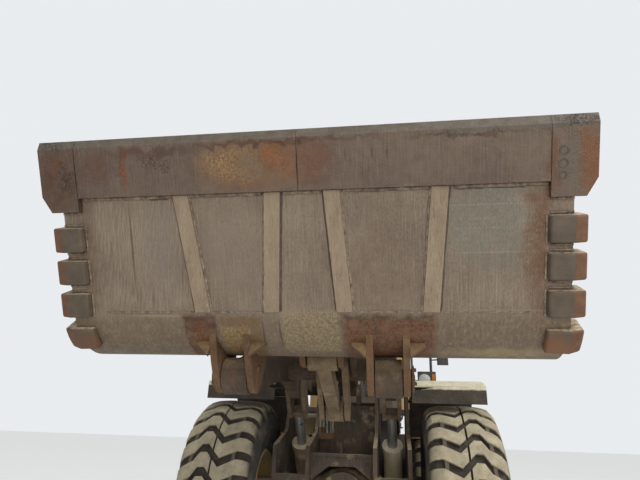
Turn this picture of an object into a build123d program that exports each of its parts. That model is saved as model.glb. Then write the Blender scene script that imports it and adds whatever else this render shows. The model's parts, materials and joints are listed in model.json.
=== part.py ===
from build123d import *
import os
from math import asin, cos, degrees, radians, sin

os.makedirs("parts", exist_ok=True)

# A wheel loader of about thirty tonnes, in millimetres. X runs forward, Y to the machine's left
# and Z up. Places along the machine are measured from its centre hinge.

# Fits
pin_gap = 0.9           # round a pin that turns in a boss
seat_gap = 0.3          # between a part and the seat that it rests on
hub_gap = 0.8           # between a wheel's hub and the end of its axle

# Wheels
tyre_radius = 935
tyre_half = 375
tread_pitches = 26
groove_width = 78
groove_root = 890       # from the wheel's axis
groove_skew = 50
half_track = 1220
front_axle_x = 1900
rear_axle_x = -1900
axle_z = tyre_radius

# Boom and its pivot on the front frame
boom_pivot_x = 1300
boom_pivot_z = 2150
boom_length = 3070
boom_rest = -4.4
arm_y = 520
arm_thickness = 110
arm_nose_radius = 125
arm_nose_half = 88
arm_heel_radius = 165
arm_heel_half = 145
boom_pin_radius = 70
tube_x = 1560
tube_y = 150
tube_radius = 150

# Tilt lever, link and cylinder, in the boom's own frame: along it and square to it
lever_pin_x = 2050
lever_pin_y = 320
lever_down = 720
lever_up = 620
lever_down_turn = -124.6
lever_up_turn = 80.0
tilt_base_x = 180       # ahead of the boom's pivot
tilt_base_z = -80

# Bucket, in its own frame: u along the floor to the lip, v square to it
bucket_turn = 61.2
bucket_pin_u = -500
bucket_pin_v = 165
link_pin_u = -580
link_pin_v = 720
floor_length = 1110
heel_radius = 420
heel_sweep = 105
back_length = 480
spill_length = 200
spill_lean = 35
shell_thickness = 30
shell_half = 1600
blade_half = 1710
blade_back = 780
blade_lip = 1150
blade_thickness = 45
blade_bevel = 50
bucket_pin_radius = 65
bracket_spread = 117    # from an arm's middle to the bracket plate beside it

# Lift cylinders
lift_pin_reach = 950    # from the boom's pivot
lift_pin_turn = -4.0
lift_boss_radius = 120
lift_base_x = 950
lift_base_z = 600
lift_pin_radius = 60
lift_barrel_radius = 105
lift_rod_radius = 55
lift_barrel_length = 1140
lift_fork_throat = 300

# Front frame
tower_inner_y = 345
tower_outer_y = 695
tower_plate = 40
hinge_pin_radius = 70
lug_thickness = 60
upper_lug_z = 1320
lower_lug_z = 720
frame_back_x = 560
deck_z = 1250
arch_front_x = 2240
arch_top = 1250
ledge_z = 1350
cross_front_x = 2345
cross_top = 1150

# Front fenders
fender_radius = 1180
fender_sheet = 16
fender_inner_y = 735
fender_outer_y = 1490
fender_lip = 160

# Steering
steer_rear_x = -760
steer_rear_y = 430
steer_front_x = 400
steer_front_y = 400
steer_z = 975
steer_barrel_radius = 62
steer_rod_radius = 35

# Rear frame, engine and hood
rail_y = 440
rail_plate = 40
neck_y = 260
rail_bottom = 1130
rail_top = 1400
rear_overhang = 4200
hood_front_x = -1870
hood_back_x = -3680
hood_half = 650
hood_bottom = 1560
hood_top = 2600
hood_sheet = 30

# Cab
cab_front_x = -150
cab_back_x = -1550
cab_half = 780
cab_floor_z = 1900
cab_top_z = 3400
cab_wall = 60
door_front_x = -400
door_back_x = -1200
door_bottom_z = 1990
door_top_z = cab_top_z - 80
door_gap = 8
door_hinge_y = cab_half + 22

# Hinges of the hood and of the rear grille
hood_hinge_x = hood_back_x - 10
hood_hinge_z = hood_top + 20
guard_front_x = hood_back_x - 20
guard_back_x = hood_back_x - 280
guard_top = hood_top - 40
grille_front_x = guard_back_x - 10
grille_sheet = 40
grille_back_x = grille_front_x - grille_sheet
grille_hinge_x = grille_front_x - 15
grille_hinge_y = hood_half + 15

# Where the machine is towed and tied down
tow_bore_x = -4130
tow_bore_radius = 26
tie_bore_x = 2410
tie_bore_radius = 32
tie_lug_z = 900
tie_lug_thickness = 40


def turned(x, y, turn):
    """A point (x, y) turned about the origin by an angle in degrees."""
    angle = radians(turn)
    return x * cos(angle) - y * sin(angle), x * sin(angle) + y * cos(angle)


# The boom's pins at rest, seen from the side as (x, z)
boom_nose_x = boom_pivot_x + turned(boom_length, 0, boom_rest)[0]
boom_nose_z = boom_pivot_z + turned(boom_length, 0, boom_rest)[1]
bucket_zero_x = boom_nose_x - turned(bucket_pin_u, bucket_pin_v, bucket_turn)[0]
bucket_zero_z = boom_nose_z - turned(bucket_pin_u, bucket_pin_v, bucket_turn)[1]

# The machine is centred on its length: from the blade's foremost edge to the counterweight
blade_corners = [(blade_lip, -blade_thickness / 3), (blade_lip - blade_bevel, -blade_thickness)]
front_reach = max(bucket_zero_x + turned(u, v, bucket_turn)[0] for u, v in blade_corners)
hinge_x = (rear_overhang - front_reach) / 2


def side(x, z, turn=0.0):
    """The side view as a plane: its own x runs forward, raised by turn, and its y is square to it."""
    along = turned(1, 0, turn)
    return Plane(origin=(hinge_x + x, 0, z), x_dir=(along[0], 0, along[1]), z_dir=(0, -1, 0))


def plan(z):
    """The plan view at a height, with its origin at the centre hinge."""
    return Plane(origin=(hinge_x, 0, z))


def plate(view, y, thickness, outline, mode=Mode.ADD):
    """A flat plate: its outline lies in the view and its middle at y."""
    with BuildSketch(view.offset(-y)) as face:
        with BuildLine():
            Polyline(*outline, close=True)
        make_face()
    extrude(face.sketch, amount=thickness / 2, both=True, mode=mode)


def slab(z_low, z_high, outline, mode=Mode.ADD):
    """A flat plate that lies level, its outline seen in plan."""
    with BuildSketch(plan(z_low)) as face:
        with BuildLine():
            Polyline(*outline, close=True)
        make_face()
    extrude(face.sketch, amount=z_high - z_low, mode=mode)


def block(x_range, y_range, z_range, mode=Mode.ADD):
    """A rectangular block between two corners."""
    low_x, high_x = x_range
    low_y, high_y = y_range
    slab(z_range[0], z_range[1],
         [(low_x, low_y), (high_x, low_y), (high_x, high_y), (low_x, high_y)], mode)


def bar(view, x, z, radius, y_low, y_high, mode=Mode.ADD):
    """A round bar, boss or bore that runs across the machine."""
    with BuildSketch(view.offset(-(y_low + y_high) / 2)) as disc:
        with Locations((x, z)):
            Circle(radius)
    extrude(disc.sketch, amount=(y_high - y_low) / 2, both=True, mode=mode)


def post(x, y, radius, z_low, z_high, mode=Mode.ADD):
    """An upright round bar or bore."""
    with BuildSketch(plan(z_low)) as disc:
        with Locations((x, y)):
            Circle(radius)
    extrude(disc.sketch, amount=z_high - z_low, mode=mode)


def band(view, y, width, inner, outer, start, sweep_angle, mode=Mode.ADD):
    """A curved sheet round the view's origin, between two radii and over an arc."""
    with BuildSketch(view.offset(-y)) as face:
        with BuildLine():
            rim = CenterArc((0, 0), outer, start, sweep_angle)
            root = CenterArc((0, 0), inner, start, sweep_angle)
            Line(rim @ 0, root @ 0)
            Line(rim @ 1, root @ 1)
        make_face()
    extrude(face.sketch, amount=width / 2, both=True, mode=mode)


def tube_along(points, radius, bend):
    """A bent tube through a list of points, given about the centre hinge."""
    with BuildLine() as route:
        FilletPolyline(*[(hinge_x + x, y, z) for x, y, z in points], radius=bend)
    with BuildSketch(Plane(origin=route.line @ 0, z_dir=route.line % 0)) as section:
        Circle(radius)
    sweep(section.sketch, path=route.line)


def finish(piece, name):
    """Label a finished piece and write it."""
    piece.part.label = name
    export_step(piece.part, f"parts/{name}.step")


boom_view = side(boom_pivot_x, boom_pivot_z, boom_rest)
bucket_view = side(bucket_zero_x, bucket_zero_z, bucket_turn)
sides = [("left", 1), ("right", -1)]

# Wheels: end, axle place, side, sign of y
wheels = [(f"{end}_{name}", axle_x, sign)
          for end, axle_x in (("front", front_axle_x), ("rear", rear_axle_x))
          for name, sign in sides]

# A tyre's flat-sided rings, one flat for each pitch of the tread: across from its middle, and out
# from the wheel's axis. The second list is its hollow side and its bore.
tyre_rings = [(-tyre_half, 745), (-330, 900), (-200, tyre_radius), (200, tyre_radius), (330, 900),
              (tyre_half, 745)]
bore_rings = [(-tyre_half - 1, 732), (-330, 430), (-260, 392.3), (260, 392.3), (330, 430),
              (tyre_half + 1, 732)]
pitch_turn = 360 / tread_pitches
# A rim's half section from its outer flange to its disc and hub
rim_section = [(-260, 392), (-322, 424), (-337, 410), (-300, 345), (60, 345), (60, 150), (120, 150),
               (140, 345), (300, 345), (337, 410), (322, 424), (260, 392)]
hub_section = [(0, 0), (0, 145), (30, 235), (200, 235), (265, 190), (290, 90), (290, 0)]

# Grooves of one pitch, cut from the middle of the tread out through each shoulder
groove_cuts = []
for sign, share in ((1, 0.5), (-1, 0.0)):
    half_width = groove_width / 2
    with BuildPart() as groove:
        with BuildSketch(Plane(origin=(0, 0, groove_root), z_dir=(0, 0, 1))):
            with BuildLine():
                Polyline((-half_width, 0), (half_width, 0),
                         (half_width - groove_skew, sign * (tyre_half + 20)),
                         (-half_width - groove_skew, sign * (tyre_half + 20)), close=True)
            make_face()
        extrude(amount=tyre_radius - groove_root + 20)
    groove_cuts += [groove.part.rotate(Axis.Y, (pitch + share) * pitch_turn)
                    for pitch in range(tread_pitches)]

with BuildPart() as block_tyre:
    for rings, mode in ((tyre_rings, Mode.ADD), (bore_rings, Mode.SUBTRACT)):
        for across, radius in rings:
            with BuildSketch(Plane(origin=(0, across, 0), x_dir=(1, 0, 0), z_dir=(0, 1, 0))):
                RegularPolygon(radius, tread_pitches, major_radius=False)
        loft(ruled=True, mode=mode)
    add(groove_cuts, mode=Mode.SUBTRACT)

for name, axle_x, sign in wheels:
    wheel_plane = Plane(origin=(hinge_x + axle_x, sign * half_track, axle_z),
                        x_dir=(0, sign, 0), z_dir=(1, 0, 0))
    with BuildPart() as tyre:
        with Locations(Location(tuple(wheel_plane.origin), (0, 0, 90 - 90 * sign))):
            add(block_tyre.part)
    finish(tyre, f"{name}_tyre")

    with BuildPart() as rim:
        with BuildSketch(wheel_plane):
            with BuildLine():
                Polyline(*rim_section, close=True)
            make_face()
        revolve(axis=Axis(wheel_plane.origin, (0, 1, 0)))
        with BuildSketch(wheel_plane):
            with BuildLine():
                Polyline(*hub_section, close=True)
            make_face()
        revolve(axis=Axis(wheel_plane.origin, (0, 1, 0)))
    finish(rim, f"{name}_rim")

# Front towers: two plates on each side, with the pins of the boom and the lift cylinders in them
tower_outline = [(620, 700), (830, 480), (1080, 470), (1250, 640), (1600, 1125), (2180, 1125),
                 (2240, 900), (2340, 900), (2350, 1420), (1800, 1560), (1540, 2150), (1470, 2290),
                 (1300, 2320), (1120, 2280), (1040, 2100), (700, 1350), (620, 1250)]
tower_pins = [(boom_pivot_x, boom_pivot_z, boom_pin_radius), (lift_base_x, lift_base_z, lift_pin_radius)]
with BuildPart() as front_towers:
    for name, sign in sides:
        for tower_y in (tower_inner_y, tower_outer_y):
            plate(side(0, 0), sign * tower_y, tower_plate, tower_outline)
        for x, z, radius in tower_pins:
            bar(side(0, 0), x, z, radius + seat_gap, sign * arm_y - 200, sign * arm_y + 200,
                mode=Mode.SUBTRACT)
            bar(side(0, 0), x, z, radius, sign * arm_y - 195, sign * arm_y + 195)
finish(front_towers, "front_towers")

# Front frame: a deck between the towers, with the hinge's lugs behind and an arched plate in front
frame_half = tower_inner_y - tower_plate / 2 - seat_gap
cross_inner_y = tower_inner_y + tower_plate / 2 + seat_gap
cross_outer_y = tower_outer_y - tower_plate / 2 - seat_gap
arch_outline = [(-frame_half, 1060), (-300, 1110), (-110, arch_top), (110, arch_top), (300, 1110),
                (frame_half, 1060), (frame_half, ledge_z), (-frame_half, ledge_z)]
with BuildPart() as front_frame:
    block((frame_back_x, 620 - seat_gap), (-715, 715), (640, 1400))
    block((600, arch_front_x), (-frame_half, frame_half), (deck_z - 20, deck_z + 20))
    with BuildSketch(Plane(origin=(hinge_x + arch_front_x - 40, 0, 0), x_dir=(0, 1, 0), z_dir=(1, 0, 0))):
        with BuildLine():
            Polyline(*arch_outline, close=True)
        make_face()
    extrude(amount=40)
    block((arch_front_x - 110, arch_front_x + 15), (-frame_half, frame_half), (ledge_z - 25, ledge_z))
    block((1560, 1610), (-frame_half, frame_half), (deck_z, 1860))
    plate(side(0, 0), 0, 2 * frame_half, [(1180, deck_z), (1230, deck_z), (1520, 1900), (1470, 1900)])
    for sign in (1, -1):
        plate(side(0, 0), sign * 120, 45, [(1250, deck_z + 10), (1440, 1650), (1560, 1650), (1590, 1990),
                                           (1560, 2110), (1480, 2170), (1400, 2110), (1370, 1960)])
        block((600, 660), (sign * cross_inner_y, sign * cross_outer_y), (700, 1250))
        block((cross_front_x - 55, cross_front_x), (sign * cross_inner_y, sign * cross_outer_y),
              (tie_lug_z, cross_top))
        slab(tie_lug_z, tie_lug_z + tie_lug_thickness,
             [(cross_front_x - 20, sign * (arm_y - 100)), (tie_bore_x, sign * (arm_y - 80)),
              (tie_bore_x + 65, sign * (arm_y - 40)), (tie_bore_x + 65, sign * (arm_y + 40)),
              (tie_bore_x, sign * (arm_y + 80)), (cross_front_x - 20, sign * (arm_y + 100))])
        post(tie_bore_x, sign * arm_y, tie_bore_radius, tie_lug_z - 5, tie_lug_z + tie_lug_thickness + 5,
             mode=Mode.SUBTRACT)
    bar(side(0, 0), boom_pivot_x + tilt_base_x, boom_pivot_z + tilt_base_z, 50, -143, 143)
    for lug_z in (upper_lug_z, lower_lug_z):
        slab(lug_z - lug_thickness / 2, lug_z + lug_thickness / 2,
             [(0, -150), (frame_back_x, -300), (frame_back_x, 300), (0, 150)])
        post(0, 0, 150, lug_z - lug_thickness / 2, lug_z + lug_thickness / 2)
        post(0, 0, hinge_pin_radius + pin_gap, 600, 1500, mode=Mode.SUBTRACT)
    for sign in (1, -1):
        for lug_z in (steer_z - 85, steer_z + 85):
            slab(lug_z - 15, lug_z + 15,
                 [(steer_front_x, sign * steer_front_y - 60), (frame_back_x, sign * steer_front_y - 90),
                  (frame_back_x, sign * steer_front_y + 90), (steer_front_x, sign * steer_front_y + 60)])
            post(steer_front_x, sign * steer_front_y, 60, lug_z - 15, lug_z + 15)
finish(front_frame, "front_frame")


def axle(name, axle_x, pads, pads_top):
    """A rigid axle: a round middle housing, tapered arms and flat pads under the frame."""
    origin = (hinge_x + axle_x, 0, axle_z)
    arm_section = [(0, 0), (0, 270), (140, 250), (260, 180), (700, 150),
                   (half_track - hub_gap, 130), (half_track - hub_gap, 0)]
    with BuildPart() as piece:
        for sign in (1, -1):
            half_plane = Plane(origin=origin, x_dir=(0, sign, 0), z_dir=(1, 0, 0))
            with BuildSketch(half_plane):
                with BuildLine():
                    Polyline(*arm_section, close=True)
                make_face()
            revolve(axis=Axis(origin, (0, 1, 0)))
            for pad_low, pad_high in pads:
                block((axle_x - 150, axle_x + 150), (sign * pad_low, sign * pad_high), (axle_z, pads_top))
        with BuildSketch(Plane(origin=origin, x_dir=(0, 1, 0), z_dir=(1, 0, 0))):
            Circle(240)
        extrude(amount=330, both=True)
    finish(piece, name)


axle("front_axle", front_axle_x, [(300, 395), (645, 745)], axle_z + 190 - seat_gap)
axle("rear_axle", rear_axle_x, [(380, 560)], rail_bottom - seat_gap)

# Front fenders: a bent sheet over each tyre with a lip in front and brackets from the tower
fender_middle = (fender_inner_y + fender_outer_y) / 2
fender_front_x = front_axle_x + turned(fender_radius, 0, 68)[0]
fender_front_z = axle_z + turned(fender_radius, 0, 68)[1]
with BuildPart() as front_fenders:
    for name, sign in sides:
        band(side(front_axle_x, axle_z), sign * fender_middle, fender_outer_y - fender_inner_y,
             fender_radius, fender_radius + fender_sheet, 68, 82)
        with BuildSketch(Plane(origin=(hinge_x + fender_front_x - 10, 0, 0), x_dir=(0, 1, 0),
                               z_dir=(1, 0, 0))) as lip:
            with BuildLine():
                Polyline((sign * fender_inner_y, fender_front_z - 40),
                         (sign * (fender_inner_y + 300), fender_front_z + 8),
                         (sign * fender_outer_y, fender_front_z + 8),
                         (sign * fender_outer_y, fender_front_z - fender_lip),
                         (sign * fender_inner_y, fender_front_z - fender_lip), close=True)
            make_face()
        extrude(lip.sketch, amount=14)
        for x, turn in ((1500, 109.8), (1300, 120.5)):
            z = axle_z + turned(fender_radius - 6, 0, turn)[1]
            bar(side(0, 0), x, z, 25, min(sign * 715, sign * 1100), max(sign * 715, sign * 1100))
finish(front_fenders, "front_fenders")

# Boom: two boomerang plates joined by a tube, with the lever's brackets on it
arm_outline = [(-60, 155), (900, 400), (1450, 500), (1850, 440), (2450, 240), (3000, 110),
               (boom_length + 40, 118), (boom_length, -arm_nose_radius), (2600, -80), (2000, -20),
               (1500, -20), (1150, -110), (720, -45), (500, -80), (280, -120), (0, -arm_heel_radius)]
bracket_outline = [(1500, 120), (1650, 330), (1990, 425), (2120, 400), (2160, 320), (2120, 230),
                   (1700, 40), (1560, 20)]
lift_pin_x, lift_pin_y = turned(lift_pin_reach, 0, lift_pin_turn)
with BuildPart() as boom:
    for name, sign in sides:
        mid = sign * arm_y
        plate(boom_view, mid, arm_thickness, arm_outline)
        bar(boom_view, lift_pin_x, lift_pin_y, lift_boss_radius, mid - 55, mid + 55)
        bar(boom_view, 0, 0, arm_heel_radius, mid - arm_heel_half, mid + arm_heel_half)
        bar(boom_view, boom_length, 0, arm_nose_radius, mid - arm_nose_half, mid + arm_nose_half)
        bar(boom_view, 0, 0, boom_pin_radius + pin_gap, mid - 200, mid + 200, mode=Mode.SUBTRACT)
        bar(boom_view, boom_length, 0, bucket_pin_radius + pin_gap, mid - 200, mid + 200,
            mode=Mode.SUBTRACT)
        plate(boom_view, sign * 185, 45, bracket_outline)
        bar(boom_view, lever_pin_x, lever_pin_y, 110, sign * 185 - 22.5, sign * 185 + 22.5)
    bar(boom_view, tube_x, tube_y, tube_radius, -arm_y, arm_y)
    bar(boom_view, lever_pin_x, lever_pin_y, 60, -205, 205)
finish(boom, "boom")

# Tilt lever: two plates joined at the hub, which turns on the boom's bracket pin
lever_view = side(boom_pivot_x + turned(lever_pin_x, lever_pin_y, boom_rest)[0],
                  boom_pivot_z + turned(lever_pin_x, lever_pin_y, boom_rest)[1], boom_rest)
lever_low = turned(lever_down, 0, lever_down_turn)
lever_high = turned(lever_up, 0, lever_up_turn)


def lever_outline(tip, turn, hub, nose):
    """One arm of the lever, tapered from its hub to its nose."""
    wide = turned(0, hub, turn)
    thin = turned(0, nose, turn)
    return [wide, (-wide[0], -wide[1]), (tip[0] - thin[0], tip[1] - thin[1]),
            (tip[0] + thin[0], tip[1] + thin[1])]


with BuildPart() as tilt_lever:
    for sign in (1, -1):
        plate(lever_view, sign * 117, 46, lever_outline(lever_low, lever_down_turn, 130, 90))
        plate(lever_view, sign * 117, 46, lever_outline(lever_high, lever_up_turn, 130, 95))
        bar(lever_view, lever_low[0], lever_low[1], 90, sign * 117 - 23, sign * 117 + 23)
        bar(lever_view, lever_high[0], lever_high[1], 95, sign * 117 - 23, sign * 117 + 23)
    bar(lever_view, 0, 0, 135, -156, 156)
    bar(lever_view, 0, 0, 60 + pin_gap, -170, 170, mode=Mode.SUBTRACT)
    bar(lever_view, lever_low[0], lever_low[1], 50, -140, 140)
finish(tilt_lever, "tilt_lever")

# Link from the lever's foot to the bucket's upper lugs
lever_foot_x = lever_pin_x + lever_low[0]
lever_foot_y = lever_pin_y + lever_low[1]
link_in_bucket = turned(link_pin_u - bucket_pin_u, link_pin_v - bucket_pin_v, bucket_turn - boom_rest)
link_run_x = boom_length + link_in_bucket[0] - lever_foot_x
link_run_y = link_in_bucket[1] - lever_foot_y
link_length = (link_run_x ** 2 + link_run_y ** 2) ** 0.5
link_turn = degrees(asin(link_run_y / link_length))
link_view = side(boom_pivot_x + turned(lever_foot_x, lever_foot_y, boom_rest)[0],
                 boom_pivot_z + turned(lever_foot_x, lever_foot_y, boom_rest)[1],
                 boom_rest + link_turn)
with BuildPart() as bucket_link:
    plate(link_view, 0, 110, [(0, -65), (link_length, -65), (link_length, 65), (0, 65)])
    bar(link_view, 0, 0, 95, -80, 80)
    bar(link_view, link_length, 0, 95, -115, 115)
    bar(link_view, 0, 0, 50 + pin_gap, -100, 100, mode=Mode.SUBTRACT)
finish(bucket_link, "bucket_link")

# Tilt cylinder, from the front frame to the lever's head
tilt_foot_x = boom_pivot_x + tilt_base_x
tilt_foot_z = boom_pivot_z + tilt_base_z
lever_head = turned(lever_pin_x + lever_high[0], lever_pin_y + lever_high[1], boom_rest)
tilt_run_x = boom_pivot_x + lever_head[0] - tilt_foot_x
tilt_run_z = boom_pivot_z + lever_head[1] - tilt_foot_z
tilt_length = (tilt_run_x ** 2 + tilt_run_z ** 2) ** 0.5
tilt_turn = degrees(asin(tilt_run_z / tilt_length))


def cylinder_barrel(name, start, direction, across, eye, eye_half, pin, radius, length, bore, neck):
    """A cylinder's barrel: an eye on its pin, the round tube and the gland at its mouth."""
    flat = Plane(origin=start, x_dir=direction, z_dir=across)
    along = Plane(origin=start, x_dir=across, z_dir=direction)
    with BuildPart() as piece:
        with BuildSketch(along.offset(eye * 0.6)):
            Circle(eye_half * 0.9)
        extrude(amount=neck)
        with BuildSketch(along.offset(neck)):
            Circle(radius)
        extrude(amount=length - neck)
        with BuildSketch(along.offset(length - 70)):
            Circle(radius * 1.12)
        extrude(amount=70)
        with BuildSketch(flat):
            Circle(eye)
        extrude(amount=eye_half, both=True)
        with BuildSketch(flat):
            Circle(pin + pin_gap)
        extrude(amount=radius * 2, both=True, mode=Mode.SUBTRACT)
        with BuildSketch(along.offset(eye * 1.1)):
            Circle(bore)
        extrude(amount=length, mode=Mode.SUBTRACT)
    finish(piece, name)


tilt_way = (cos(radians(tilt_turn)), 0, sin(radians(tilt_turn)))
cylinder_barrel("tilt_barrel", (hinge_x + tilt_foot_x, 0, tilt_foot_z), tilt_way, (0, -1, 0),
                95, 90, 50, 120, 1220, 67, 150)
tilt_view = side(tilt_foot_x, tilt_foot_z, tilt_turn)
with BuildPart() as tilt_rod:
    with BuildSketch(Plane(origin=(hinge_x + tilt_foot_x, 0, tilt_foot_z), x_dir=(0, -1, 0),
                           z_dir=tilt_way).offset(tilt_length - 1270)):
        Circle(66.9)
    extrude(amount=1200)
    bar(tilt_view, tilt_length, 0, 95, -86, 86)
finish(tilt_rod, "tilt_rod")

# Lift cylinders, from the foot of each tower to the arms' undersides
lift_eye = turned(lift_pin_reach, 0, lift_pin_turn + boom_rest)
lift_run_x = boom_pivot_x + lift_eye[0] - lift_base_x
lift_run_z = boom_pivot_z + lift_eye[1] - lift_base_z
lift_length = (lift_run_x ** 2 + lift_run_z ** 2) ** 0.5
lift_turn = degrees(asin(lift_run_z / lift_length))
lift_way = (cos(radians(lift_turn)), 0, sin(radians(lift_turn)))
lift_view = side(lift_base_x, lift_base_z, lift_turn)
for name, sign in sides:
    foot = (hinge_x + lift_base_x, sign * arm_y, lift_base_z)
    cylinder_barrel(f"lift_barrel_{name}", foot, lift_way, (0, -1, 0),
                    105, 100, 60, lift_barrel_radius, lift_barrel_length, lift_rod_radius + 0.1, 125)
    with BuildPart() as lift_rod:
        along = Plane(origin=foot, x_dir=(0, -1, 0), z_dir=lift_way)
        with BuildSketch(along.offset(lift_length - 1395)):
            Circle(lift_rod_radius)
        extrude(amount=1395 - lift_fork_throat - 5)
        fork_root = lift_length - lift_fork_throat
        mid = sign * arm_y
        for ear in (-84, 84):
            plate(lift_view, mid + ear, 42, [(fork_root - 60, -80), (lift_length, -95),
                                             (lift_length, 95), (fork_root - 60, 80)])
            bar(lift_view, lift_length, 0, 95, mid + ear - 21, mid + ear + 21)
        plate(lift_view, mid, 126, [(fork_root - 60, -60), (fork_root, -60), (fork_root, 60),
                                    (fork_root - 60, 60)])
    finish(lift_rod, f"lift_rod_{name}")

# Steering cylinders, from the rear frame's neck to the front frame's lugs
steer_run_x = steer_front_x - steer_rear_x
steer_run_y = steer_front_y - steer_rear_y
steer_length = (steer_run_x ** 2 + steer_run_y ** 2) ** 0.5
for name, sign in sides:
    foot = (hinge_x + steer_rear_x, sign * steer_rear_y, steer_z)
    way = (steer_run_x / steer_length, sign * steer_run_y / steer_length, 0)
    cylinder_barrel(f"steer_barrel_{name}", foot, way, (0, 0, 1),
                    60, 55, 35, steer_barrel_radius, 770, steer_rod_radius + 0.1, 70)
    with BuildPart() as steer_rod:
        along = Plane(origin=foot, x_dir=(0, 0, 1), z_dir=way)
        with BuildSketch(along.offset(steer_length - 790)):
            Circle(steer_rod_radius)
        extrude(amount=760)
        with BuildSketch(Plane(origin=(hinge_x + steer_front_x, sign * steer_front_y, steer_z))):
            Circle(60)
        extrude(amount=60, both=True)
    finish(steer_rod, f"steer_rod_{name}")

# Bucket shell: a bent sheet with a round heel, closed by two side plates
back_turn = heel_sweep - 90
heel_end = turned(0, -heel_radius, -heel_sweep)
heel_end = (heel_end[0], heel_end[1] + heel_radius)
back_end = (heel_end[0] + back_length * sin(radians(back_turn)),
            heel_end[1] + back_length * cos(radians(back_turn)))
spill_end = (back_end[0] + spill_length * sin(radians(spill_lean)),
             back_end[1] + spill_length * cos(radians(spill_lean)))
back_inside = (back_end[0] + shell_thickness, back_end[1])
spill_inside = (spill_end[0] + shell_thickness, spill_end[1])
with BuildPart() as bucket_shell:
    with BuildSketch(bucket_view) as section:
        with BuildLine():
            Line((floor_length, 0), (0, 0))
            heel = CenterArc((0, heel_radius), heel_radius, 270, -heel_sweep)
            Polyline(heel @ 1, back_end, spill_end, spill_inside, back_inside)
            inner_heel = CenterArc((0, heel_radius), heel_radius - shell_thickness, 270, -heel_sweep)
            Line(back_inside, inner_heel @ 1)
            Polyline((0, shell_thickness), (floor_length, shell_thickness), (floor_length, 0))
        make_face()
    extrude(section.sketch, amount=shell_half, both=True)
    for sign in (1, -1):
        with BuildSketch(bucket_view.offset(-sign * (shell_half - shell_thickness / 2))) as cheek:
            with BuildLine():
                Line((floor_length, 0), (0, 0))
                cheek_heel = CenterArc((0, heel_radius), heel_radius, 270, -heel_sweep)
                Polyline(cheek_heel @ 1, back_end, spill_end, (120, 1200), (760, 420),
                         (floor_length, 120), (floor_length, 0))
            make_face()
        extrude(cheek.sketch, amount=shell_thickness / 2, both=True)
finish(bucket_shell, "bucket_shell")

# Bolted cutting edge under the lip, in two halves with an end bit at each corner
floor_view = Plane(bucket_view.origin, x_dir=bucket_view.x_dir, z_dir=bucket_view.y_dir)
with BuildPart() as cutting_edges:
    for y_low, y_high, back in ((-blade_half, -1460, blade_back - 90), (-1458, -1, blade_back),
                                (1, 1458, blade_back), (1460, blade_half, blade_back - 90)):
        plate(bucket_view, (y_low + y_high) / 2, y_high - y_low,
              [(back, 0), (back, -blade_thickness), (blade_lip - blade_bevel, -blade_thickness),
               (blade_lip, -blade_thickness / 3), (blade_lip, 0)])
    for sign in (1, -1):
        with BuildSketch(floor_view) as corner:
            with BuildLine():
                Polyline((blade_back - 95, sign * (blade_half - 62)), (blade_back + 15, sign * blade_half),
                         (blade_back + 15, sign * (blade_half + 5)), (blade_back - 95, sign * (blade_half + 5)),
                         close=True)
            make_face()
        extrude(corner.sketch, amount=-blade_thickness - 1, mode=Mode.SUBTRACT)
finish(cutting_edges, "cutting_edges")

# Wear strips under the floor: y at the blade and y at the heel of each strip's middle
with BuildPart() as wear_strips:
    for y_blade, y_heel in ((-770, -673), (-170, -214), (200, 257), (848, 790)):
        with BuildSketch(floor_view) as strip:
            with BuildLine():
                Polyline((10, y_heel - 50), (10, y_heel + 50), (blade_back - 5, y_blade + 50),
                         (blade_back - 5, y_blade - 50), close=True)
            make_face()
        extrude(strip.sketch, amount=-20)
finish(wear_strips, "wear_strips")

# Corner shrouds: u at each one's middle along the floor's edge, the last on the heel
with BuildPart() as corner_shrouds:
    for sign in (1, -1):
        for u in (505, 285, 62):
            for y_low, y_high, v_low, v_high in ((1400, 1655, -55, 0), (1600, 1655, 0, 120)):
                plate(bucket_view, sign * (y_low + y_high) / 2, y_high - y_low,
                      [(u - 82, v_low), (u + 82, v_low), (u + 82, v_high), (u - 82, v_high)])
        heel_view = side(bucket_zero_x + turned(0, heel_radius, bucket_turn)[0],
                         bucket_zero_z + turned(0, heel_radius, bucket_turn)[1], bucket_turn)
        band(heel_view, sign * 1527.5, 255, heel_radius, heel_radius + 55, 235, 22)
        band(heel_view, sign * 1627.5, 55, heel_radius - 120, heel_radius + 55, 235, 22)
finish(corner_shrouds, "corner_shrouds")

# Hinge brackets welded on the bucket's back, with the boom's nose pins and the link's lugs
pin_u, pin_v = bucket_pin_u, bucket_pin_v
hinge_outline = [(-150, 28), (-330, 20), (pin_u - 40, pin_v - 115), (pin_u - 110, pin_v - 20),
                 (pin_u - 70, pin_v + 95), (-455, 420), (-414, 500), (-400, 420), (-300, 150)]
lug_outline = [(-406, 529), (link_pin_u - 20, link_pin_v - 100), (link_pin_u - 90, link_pin_v + 20),
               (link_pin_u - 30, link_pin_v + 95), (-310, 890), (-340, 780)]
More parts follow.
